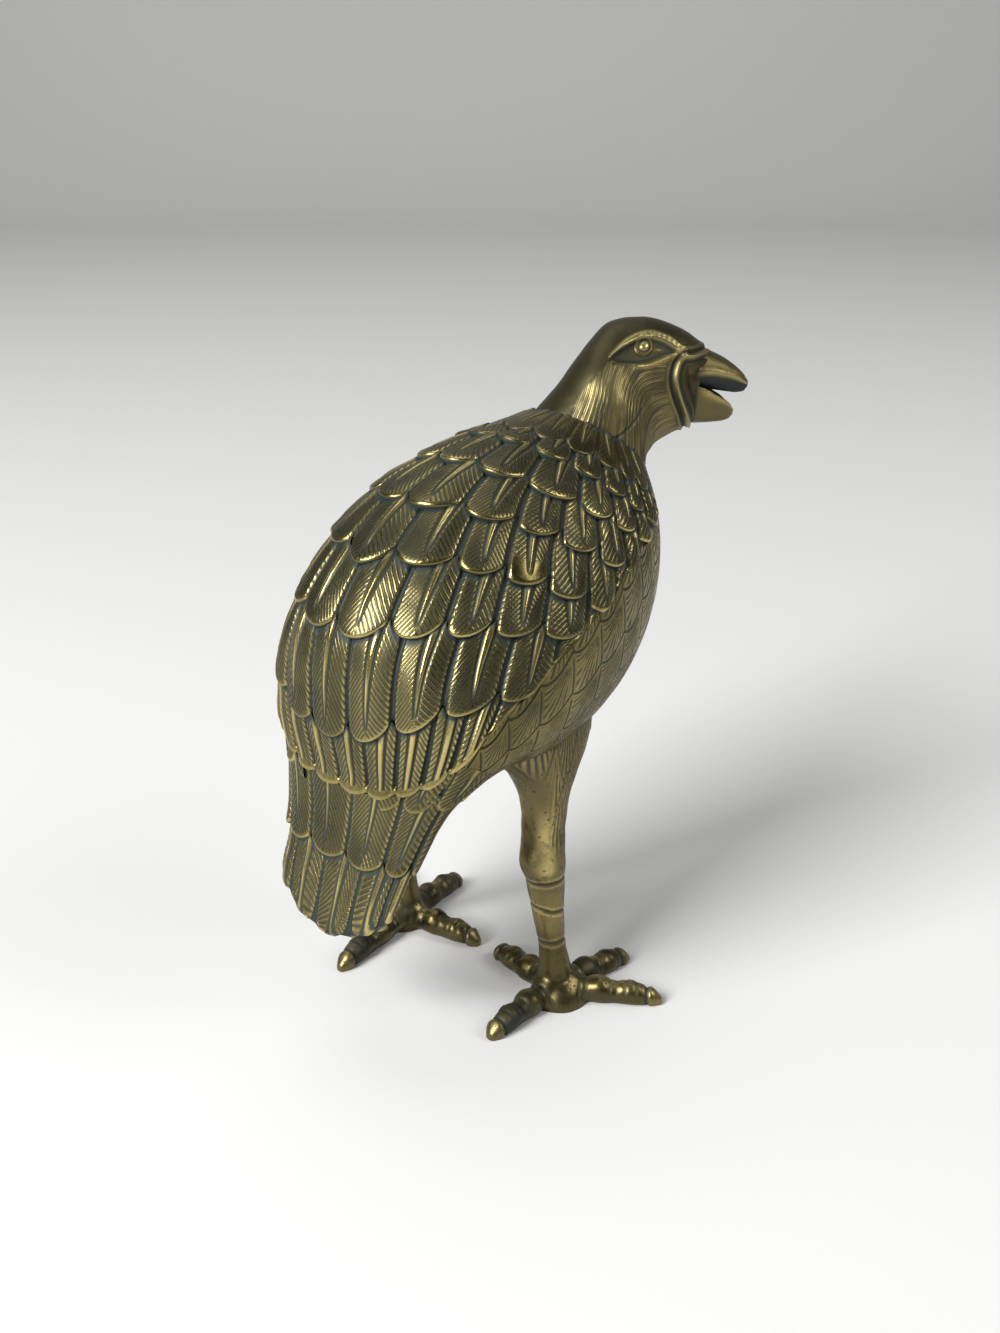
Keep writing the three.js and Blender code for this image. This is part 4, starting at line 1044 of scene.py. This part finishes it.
def beakHalf(name, profile, nostrils):
    station, angle = roundGrid(beak["rows"], beak["columns"], len(profile) - 1)
    f, outer, edge, inner, half = np.moveaxis(smoothAt(profile, station), -1, 0)
    c, s = np.cos(angle), np.sin(angle)  # cosine 1 on the outer ridge, -1 in the mouth
    u = edge + (outer - edge) * np.maximum(c, 0) + (inner - edge) * np.maximum(-c, 0)
    w = half * np.sign(s) * np.abs(s) ** 0.9
    lip = bell(c - 0.06, 0.13)
    inside = smoothStep(0.1, 0.3, -c)
    groove = smoothStep(12.6, 11.2, f) * (1 - inside)
    patina = 0.95 * inside + 0.85 * groove + 0.06
    seenF, seenU = f + head["seenAhead"] * np.abs(w), u - head["seenDown"] * np.abs(w)
    if nostrils:
        hollow = bell(np.hypot(seenF - beak["nostril"][0], 1.4 * (seenU - beak["nostril"][1])), 1.3)
        patina = patina + 0.6 * hollow
        w = w * (1 - 0.12 * hollow)
    w = w * (1 + 0.04 * lip * smoothStep(10, 13, f)) + 0.06 * ripple(f * 1.5, angle * 4, 1.0, 57)
    # the polish along the lip's bulge by the cutting edge is wear with a painted highlight
    polishAndSheen = 0.6 * lip * smoothStep(12, 15, f) + 0.15 + 0.2 * smoothStep(20, 25, f)
    polishAndSheen = polishAndSheen * (1 - inside) * (1 - groove)
    points = headCentre + headAhead * f[..., None] + headLeft * w[..., None] + np.array([0, 0, 1.0]) * u[..., None]
    middle = points[-1].mean(0)
    ends = np.stack([middle + (points[-1] - middle) * k + headAhead * a for k, a in beak["tip"]])
    points = np.concatenate([points, ends])
    patina, polishAndSheen = (np.concatenate([values] + len(ends) * [values[-1:]]) for values in (patina, polishAndSheen))
    faces = gridFaces(*points.shape[:2], closed=True)
    masks = {"patina": patina, "polishAndSheen": polishAndSheen}
    makePiece(name, points, faces if nostrils else faces[:, ::-1], masks, onHead, cast)


beakHalf("upper_beak", beak["upper"], True)
beakHalf("lower_beak", beak["lower"], False)
print("head made")


# Legs and feet

legStations = np.array([
    (2, -18, 77, 11, 7), (3.2, -19.2, 69, 12, 7.6), (2.1, -20.6, 61, 9.5, 7), (0.2, -21.9, 52.5, 6.1, 5.5),
    (-1.2, -22.8, 44, 5.1, 4.9), (-1.8, -23.4, 37.5, 5.5, 4.9), (-1.4, -23.8, 31.5, 4.5, 4.4),
    (-0.8, -24.2, 23, 3.8, 3.7), (0.2, -24.6, 15, 3.2, 3.2), (1, -25, 8, 4, 3.8), (1.3, -25, 3, 5.2, 4.8),
])
footCentre = np.array([1, -25, 0.0])
foot = {
    "toes": [(8, 24), (56, 25.5), (-80, 22.5)], "rightHind": (178, 24), "leftHind": (190, 28),
    "profile": [(-0.12, 3.2, 3.3), (0.12, 3.8, 3.7), (0.26, 2.9, 2.9), (0.42, 3.4, 3.1), (0.56, 2.7, 2.6),
                (0.7, 3, 2.8), (0.82, 2.5, 2.3), (0.91, 2.1, 1.9), (1, 1.1, 1.0)],
    "padRadius": 6.8, "padHeight": 6.5, "padOutwards": 1.4, "sole": 0.3, "voxel": 0.42,
    "creases": [0.24, 0.3, 0.52, 0.58, 0.66, 0.76], "clawFrom": 0.86,
}
shank = {
    "rings": [(33.0, 0.2, 0.45), (25.3, -1.1, 0.5), (16.2, 0.1, 0.3)],  # height, how much it slants, depth
    "flare": 6.5, "flareAhead": 0.35, "flareFrom": 50.0, "heel": 38, "trimBelow": 0.96,
}
thigh = {"feather": 11.0, "from": 36, "turn": math.radians(50), "lineWidth": 0.4, "fanLines": 16}
# The tenon that goes up through the belly: place, and its outline as radius and height
tenon = {"x": 0.8, "y": -20.6, "columns": 40,
         "profile": [(3.4, 58), (3.4, 64), (3.4, 70), (3.1, 70.3), (2.6, 70.4), (0, 70.4)]}
# Marks of leg and foot: height in mm, patina, and polish that is partly a painted highlight
legMarks = {
    "unevenness": (0.1, 0, 0), "fineness": (0.05, 0, 0), "blotch": (0, 0.22, 0), "footBlotch": (0, 0.3, 0),
    "worn": (0, 0, 0.22), "wornCloud": (0, 0, 0.2), "ring": (-1, 2, 0), "ringEdge": (0, 0, 0.4),
    "heel": (0.8, 0, 0), "shinRidgeAndHighlight": (0.35, 0, 0.85), "hollow": (-0.5, 0, 0), "hollowShade": (0, 0.6, 0),
    "featherLine": (-0.16, 0.7, 0), "featherStroke": (-0.14, 0.5, 0), "crease": (-0.22, 0.6, 0),
    "notch": (-0.45, 0.9, 0), "claw": (0.25, 0, 0), "clawShine": (0, 0, 0.2), "toeTop": (0, 0, 0.15),
    "toeCloud": (0, 0, 0.35),
}


def tubeMesh(rings):
    rows, columns = rings.shape[:2]
    ends = np.stack([rings[0].mean(0), rings[-1].mean(0)])
    points = np.concatenate([rings.reshape(-1, 3), ends])
    faces = gridFaces(rows, columns, closed=True)
    side = np.arange(columns)
    right = (side + 1) % columns
    low = np.stack([right, side, np.full(columns, rows * columns)], -1)
    base = (rows - 1) * columns
    high = np.stack([base + side, base + right, np.full(columns, rows * columns + 1)], -1)
    return points, faces.tolist() + low.tolist() + high.tolist()


def legRings():
    v = smoothAt(legStations, np.linspace(0, len(legStations) - 1, 70))
    angle = np.linspace(0, 2 * np.pi, 40, endpoint=False)
    flare = shank["flare"] * np.clip((v[:, None, 2] - shank["flareFrom"]) / 15, 0, 1) ** 2.2
    flare = flare * np.where(np.cos(angle) > 0, shank["flareAhead"], 1)
    x = v[:, None, 0] + (v[:, None, 3] + flare) * np.cos(angle)
    y = v[:, None, 1] + v[:, None, 4] * np.sin(angle)
    return np.stack([x, y, np.broadcast_to(v[:, None, 2], x.shape)], -1)


def padRings():
    level = np.linspace(-0.45, 0.49, 24)[:, None] * np.pi
    angle = np.linspace(0, 2 * np.pi, 40, endpoint=False)
    x = footCentre[0] + foot["padRadius"] * np.cos(level) * np.cos(angle)
    y = footCentre[1] - foot["padOutwards"] + foot["padRadius"] * np.cos(level) * np.sin(angle)
    return np.stack([x, y, np.broadcast_to(foot["padHeight"] * np.sin(level), x.shape)], -1)[::-1]


def toeAxes(heading):
    ahead = np.array([math.cos(math.radians(heading)), -math.sin(math.radians(heading)), 0])
    return ahead, np.array([-ahead[1], ahead[0], 0])


def toeRings(heading, length):
    v = smoothAt(foot["profile"], np.linspace(0, len(foot["profile"]) - 1, 60))
    ahead, across = toeAxes(heading)
    angle = np.linspace(0, 2 * np.pi, 24, endpoint=False)
    share, half, high = v[:, 0], v[:, 1], v[:, 2]
    middle = footCentre + ahead * (share * length)[:, None]
    points = middle[:, None] + across * (half[:, None] * np.cos(angle))[..., None]
    points[..., 2] = (high - foot["sole"])[:, None] + half[:, None] * np.sin(angle)
    return points


def legRelief(place, normal, toes):
    relief = dict.fromkeys(("height", "patina", "polishAndSheen"), 0)
    x, y, z = place.T
    line = smoothAt(legStations, np.interp(-z, -legStations[:, 2], np.arange(len(legStations))))
    around = np.arctan2(y - line[:, 1], x - line[:, 0])  # 0 ahead, -90 degrees outside
    onLeg = smoothStep(7, 10, z)
    blotch = toolMarks(place, 4.0, 63)
    pressMarks(relief, legMarks, {
        "unevenness": toolMarks(place, 3.0, 61), "fineness": toolMarks(place, 1.3, 62),
        "blotch": smoothStep(0.0, 0.7, blotch), "footBlotch": (1 - onLeg) * smoothStep(-0.4, 0.6, blotch),
        "worn": np.ones(len(z)), "wornCloud": toolMarks(place, 7.0, 65),
    })
    for level, slant, depth in shank["rings"]:
        away = z - level - slant * np.cos(around + 0.6) - 0.15 * toolMarks(place, 2.0, 66)
        pressMarks(relief, legMarks, {
            "ring": depth * bell(away, 0.38) * onLeg,
            "ringEdge": (bell(away - 0.9, 0.4) + bell(away + 0.9, 0.4)) * onLeg,
        })
    # a hollow at the rear of the shank, darkened with mottled painted shade
    hollow = smoothStep(0.84, 0.97, 0.5 + 0.5 * np.cos(around - 3.44))
    hollow = hollow * smoothStep(34, 38, z) * smoothStep(66, 58, z)
    pressMarks(relief, legMarks, {
        "heel": bell(z - shank["heel"], 3.2) * bell(np.abs(around) - np.pi, 0.7),
        # a raised ridge down the shin with a painted highlight on it
        "shinRidgeAndHighlight": bell(around + 2.3, 0.4) * smoothStep(34, 37, z) * smoothStep(54, 44, z),
        "hollow": hollow, "hollowShade": hollow * (0.6 + 0.4 * blotch),
    })
    # feathers of the thigh
    onThigh = smoothStep(38, 44, z) * smoothStep(-2.35, -1.95, around) * smoothStep(1.6, 0.9, around)
    onThigh = np.maximum(onThigh, smoothStep(57, 63, z))
    long = thigh["feather"]
    rowNumber = np.floor((z - thigh["from"]) / long)
    start = thigh["from"] + long * rowNumber
    across = around / thigh["turn"] + (rowNumber % 2) / 2
    across = across - np.round(across)
    edge = start + long * np.abs(2 * across) ** 2.2
    lineAway = np.abs(z - edge) / np.sqrt(1 + (long * 4.4 * np.abs(2 * across) ** 1.2 / 9) ** 2)
    above = z > edge
    down = start + np.where(above, 2 * long, long) - z
    own = np.where(above, across, across - np.sign(across) / 2)
    phase = own * line[:, 3] * 0.87 / (down + 4) * thigh["fanLines"]
    fan = onThigh * smoothStep(0.5, 1.2, lineAway)
    relief["patina"] = relief["patina"] * (1 - 0.5 * onThigh)
    pressMarks(relief, legMarks, {
        "featherLine": smoothStep(thigh["lineWidth"], 0.12, lineAway) * onThigh,
        "featherStroke": cutLine(phase, 0.4) * fan,
    })
    # toes: creased knuckles, tops painted lighter where they face up, claws
    toe = smoothStep(9, 7, z)
    nearest, share = np.full(len(z), 1e9), np.zeros(len(z))
    for heading, length in toes:
        ahead, acrossToe = toeAxes(heading)
        along = (place - footCentre) @ ahead / length
        aside = np.abs((place - footCentre) @ acrossToe) + 50 * (along < 0.1)
        share = np.where(aside < nearest, along, share)
        nearest = np.minimum(nearest, aside)
    for crease in foot["creases"]:
        pressMarks(relief, legMarks, {
            "crease": bell(share - crease, 0.012) * toe * smoothStep(-0.1, 0.4, normal[:, 2])})
    claw = smoothStep(foot["clawFrom"], foot["clawFrom"] + 0.03, share) * toe
    upFacingToe = toe * smoothStep(0.35, 0.95, normal[:, 2])
    pressMarks(relief, legMarks, {"notch": bell(share - foot["clawFrom"], 0.018) * toe,
                                  "claw": claw * smoothStep(1.0, 0.9, share)})
    relief["patina"] = relief["patina"] * (1 - 0.6 * claw)
    relief["polishAndSheen"] = relief["polishAndSheen"] * (1 - 0.4 * toe)
    pressMarks(relief, legMarks, {"toeTop": upFacingToe, "toeCloud": upFacingToe * toolMarks(place, 3, 67),
                                  "clawShine": claw})
    return relief["height"], {"patina": relief["patina"], "polishAndSheen": relief["polishAndSheen"], "strand": phase,
                              "strandDepth": fan}


def depthInBody(place):
    # 1 on the body's outside, less within
    v = smoothAt(bodyStations, np.linspace(2, 9, 141))
    middle = (v[:, 0:2] + v[:, 2:4]) / 2
    axis = (v[:, 0:2] - v[:, 2:4]) / 2
    size = (axis ** 2).sum(1)
    dx, dz = place[:, 0, None] - middle[:, 0], place[:, 2, None] - middle[:, 1]
    nearest = np.abs((dx * axis[:, 1] - dz * axis[:, 0]) / np.sqrt(size)).argmin(1)
    row = np.arange(len(place))
    lean = ((dx * axis[:, 0] + dz * axis[:, 1]) / size)[row, nearest]
    return np.hypot(lean, place[:, 1] / v[nearest, 4])


def readOut(items, field, kind=np.float32):
    values = np.zeros(len(items) * 3, kind)
    items.foreach_get(field, values)
    return values.reshape(-1, 3)


def turnedRings(profile, x, y, columns):
    # rings of a turned piece from its radii and heights
    radius, high = np.array(profile, float).T[..., None]
    turn = np.linspace(0, 2 * np.pi, columns, endpoint=False)
    return np.stack([x + radius * np.cos(turn), y + radius * np.sin(turn), high + 0 * turn], -1)


def makeLeg(name, side, hind):
    home = ("bird", name)
    toes = foot["toes"] + [hind]
    points, faces = [], []
    for rings in [legRings(), padRings()] + [toeRings(*toe) for toe in toes]:
        p, f = tubeMesh(rings)
        start = sum(len(q) for q in points)
        faces += [[i + start for i in face] for face in f]
        points.append(p)
    points = np.concatenate(points) * (1, side, 1)
    if side < 0:
        faces = [face[::-1] for face in faces]
    mesh = bpy.data.meshes.new(name + "_rough")
    mesh.from_pydata((points / perMetre).tolist(), [], faces)
    rough = bpy.data.objects.new(name + "_rough", mesh)
    scene.collection.objects.link(rough)
    joined = rough.modifiers.new("joined", "REMESH")
    joined.mode = "VOXEL"
    joined.voxel_size = foot["voxel"] / perMetre
    smoothed = rough.modifiers.new("smoothed", "SMOOTH")
    smoothed.iterations = 4
    whole = bpy.data.meshes.new_from_object(rough.evaluated_get(bpy.context.evaluated_depsgraph_get()))
    bpy.data.objects.remove(rough)
    place = readOut(whole.vertices, "co").astype(float) * perMetre
    normal = readOut(whole.vertex_normals, "vector").astype(float)
    height, masks = legRelief(place * (1, side, 1), normal * (1, side, 1), toes)
    place = place + normal * height[:, None]
    place[:, 2] = np.maximum(place[:, 2], 0)
    whole.calc_loop_triangles()
    triangles = readOut(whole.loop_triangles, "vertices", np.int32)
    outside = (depthInBody(place) > shank["trimBelow"]) | (place[:, 2] < shank["flareFrom"])
    makePiece(name, place, triangles[outside[triangles].any(1)], masks, home, ("dark_brass", legBrass))
    rings = turnedRings(tenon["profile"], tenon["x"], tenon["y"], tenon["columns"]) * (1, side, 1)
    faces = gridFaces(*rings.shape[:2], closed=True)
    makePiece(name + "_tenon", rings, faces if side > 0 else faces[:, ::-1],
              {"patina": 0.4 + 0.3 * toolMarks(rings, 3, 73)}, home, ("dark_brass", smokedBrass))


makeLeg("right_leg", 1, foot["rightHind"])
makeLeg("left_leg", -1, foot["leftHind"])
print("legs made")


# Inner pieces

cup["columns"] = 120
cup["profile"] = np.array([
    (0, 0), (9.3, 0), (9.5, 0.3), (10, 2.2), (11.5, 5), (14.2, 9.5), (17.4, 15), (20, 21), (21.3, 25.6),
    (21.4, 26), (20.9, 26), (20.2, 25.2), (18.8, 21), (16.2, 15), (13, 9.5), (10.3, 5), (8.8, 2.4), (0, 2.2),
])
rings = turnedRings(cup["profile"] + (0, cup["seat"]), cup["centreX"], 0, cup["columns"])
onInside = np.arange(len(rings))[:, None] > 10
cupSoot = 0.35 + 0.5 * toolMarks(rings, 5, 71) + 0.4 * onInside
makePiece("cup_of_incense", rings, gridFaces(*rings.shape[:2], closed=True),
          {"patina": cupSoot, "polishAndSheen": 0.2 + 0 * cupSoot}, ("cup", "incense_cup"), smoked)
for node in ("cover_locating_flange", "right_leg_pin", "left_leg_pin"):
    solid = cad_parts[node]
    solid.data.materials.clear()
    solid.data.materials.append(smokedBrass)
print("inner pieces made")


# Floor, light and camera

stageLook = {"floor": (0.78, 0.78, 0.77, 1), "roughness": 0.8, "gloss": 0.2, "air": (0.9, 0.9, 0.9, 1),
             "airLevel": 0.15, "from": -2.0, "wallAt": 1.6, "wallHigh": 2.4, "halfWidth": 3.0, "bend": 0.6}
target = np.array([-standMiddle, -8.5, 80.0]) / perMetre
view = {"azimuth": -48.0, "elevation": 22.0, "distance": 0.35, "lens": 42.06, "sensor": 36}


def direction(azimuth, elevation):
    a, e = math.radians(azimuth), math.radians(elevation)
    return np.array([math.sin(a) * math.cos(e), -math.cos(a) * math.cos(e), math.sin(e)])


# a floor that bends up into a wall far behind the bird
bend = np.radians(np.linspace(0, 90, 17))
curve = stageLook["bend"] * np.stack([np.sin(bend), 1 - np.cos(bend)], -1) + (stageLook["wallAt"], 0)
wallTop = (stageLook["wallAt"] + stageLook["bend"], stageLook["wallHigh"])
sweep = np.concatenate([[(stageLook["from"], 0.0)], curve, [wallTop]])
behind = -direction(view["azimuth"], 0)
sideways = np.array([-behind[1], behind[0], 0])
edges = [behind * d + np.array([0, 0, h]) for d, h in sweep]
floorPoints = [tuple(p + sideways * s * stageLook["halfWidth"]) for p in edges for s in (1, -1)]
floorFaces = [(2 * i, 2 * i + 1, 2 * i + 3, 2 * i + 2) for i in range(len(edges) - 1)]
floorMesh = bpy.data.meshes.new("floor")
floorMesh.from_pydata(floorPoints, [], floorFaces)
floorMesh.shade_smooth()
floor = bpy.data.objects.new("floor", floorMesh)
scene.collection.objects.link(floor)
floorMaterial = bpy.data.materials.new("paleFloor")
floorMaterial.use_nodes = True
floorShader = floorMaterial.node_tree.nodes["Principled BSDF"]
floorShader.inputs["Base Color"].default_value = stageLook["floor"]
floorShader.inputs["Roughness"].default_value = stageLook["roughness"]
floorShader.inputs["Specular IOR Level"].default_value = stageLook["gloss"]
floorMesh.materials.append(floorMaterial)
floor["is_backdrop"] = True

world = bpy.data.worlds.new("studio")
scene.world = world
world.use_nodes = True
air = world.node_tree.nodes["Background"]
air.inputs["Color"].default_value = stageLook["air"]
air.inputs["Strength"].default_value = stageLook["airLevel"]
scene.view_settings.view_transform = "Standard"


def aimed(obj, place, at):
    away = np.array(place, float) - np.array(at, float)
    flat = math.hypot(away[0], away[1])
    obj.location = place
    obj.rotation_euler = (math.atan2(flat, away[2]), 0, math.atan2(away[0], -away[1]))


camera = bpy.data.objects.new("camera", bpy.data.cameras.new("camera"))
scene.collection.objects.link(camera)
camera.data.lens = view["lens"]
camera.data.sensor_width = view["sensor"]
camera.data.clip_start = 0.01
aimed(camera, target + direction(view["azimuth"], view["elevation"]) * view["distance"], target)
scene.camera = camera

lamps = {
    "key": {"azimuth": -96, "elevation": 34, "distance": 1.5, "size": 0.75, "power": 32.0},
    "rim": {"azimuth": 30, "elevation": 38, "distance": 1.6, "size": 0.7, "power": 7.0},
    "top": {"azimuth": 150, "elevation": 70, "distance": 1.8, "size": 1.2, "power": 7.0},
}
for name, lamp in lamps.items():
    light = bpy.data.lights.new(name, "AREA")
    light.size = lamp["size"]
    light.energy = lamp["power"]
    holder = bpy.data.objects.new(name, light)
    scene.collection.objects.link(holder)
    aimed(holder, target + direction(lamp["azimuth"], lamp["elevation"]) * lamp["distance"], target)
print("stage made")

({"cad": [list(corner) for corner in cadBounds],
           "visual": [list(corner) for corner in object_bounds()]})
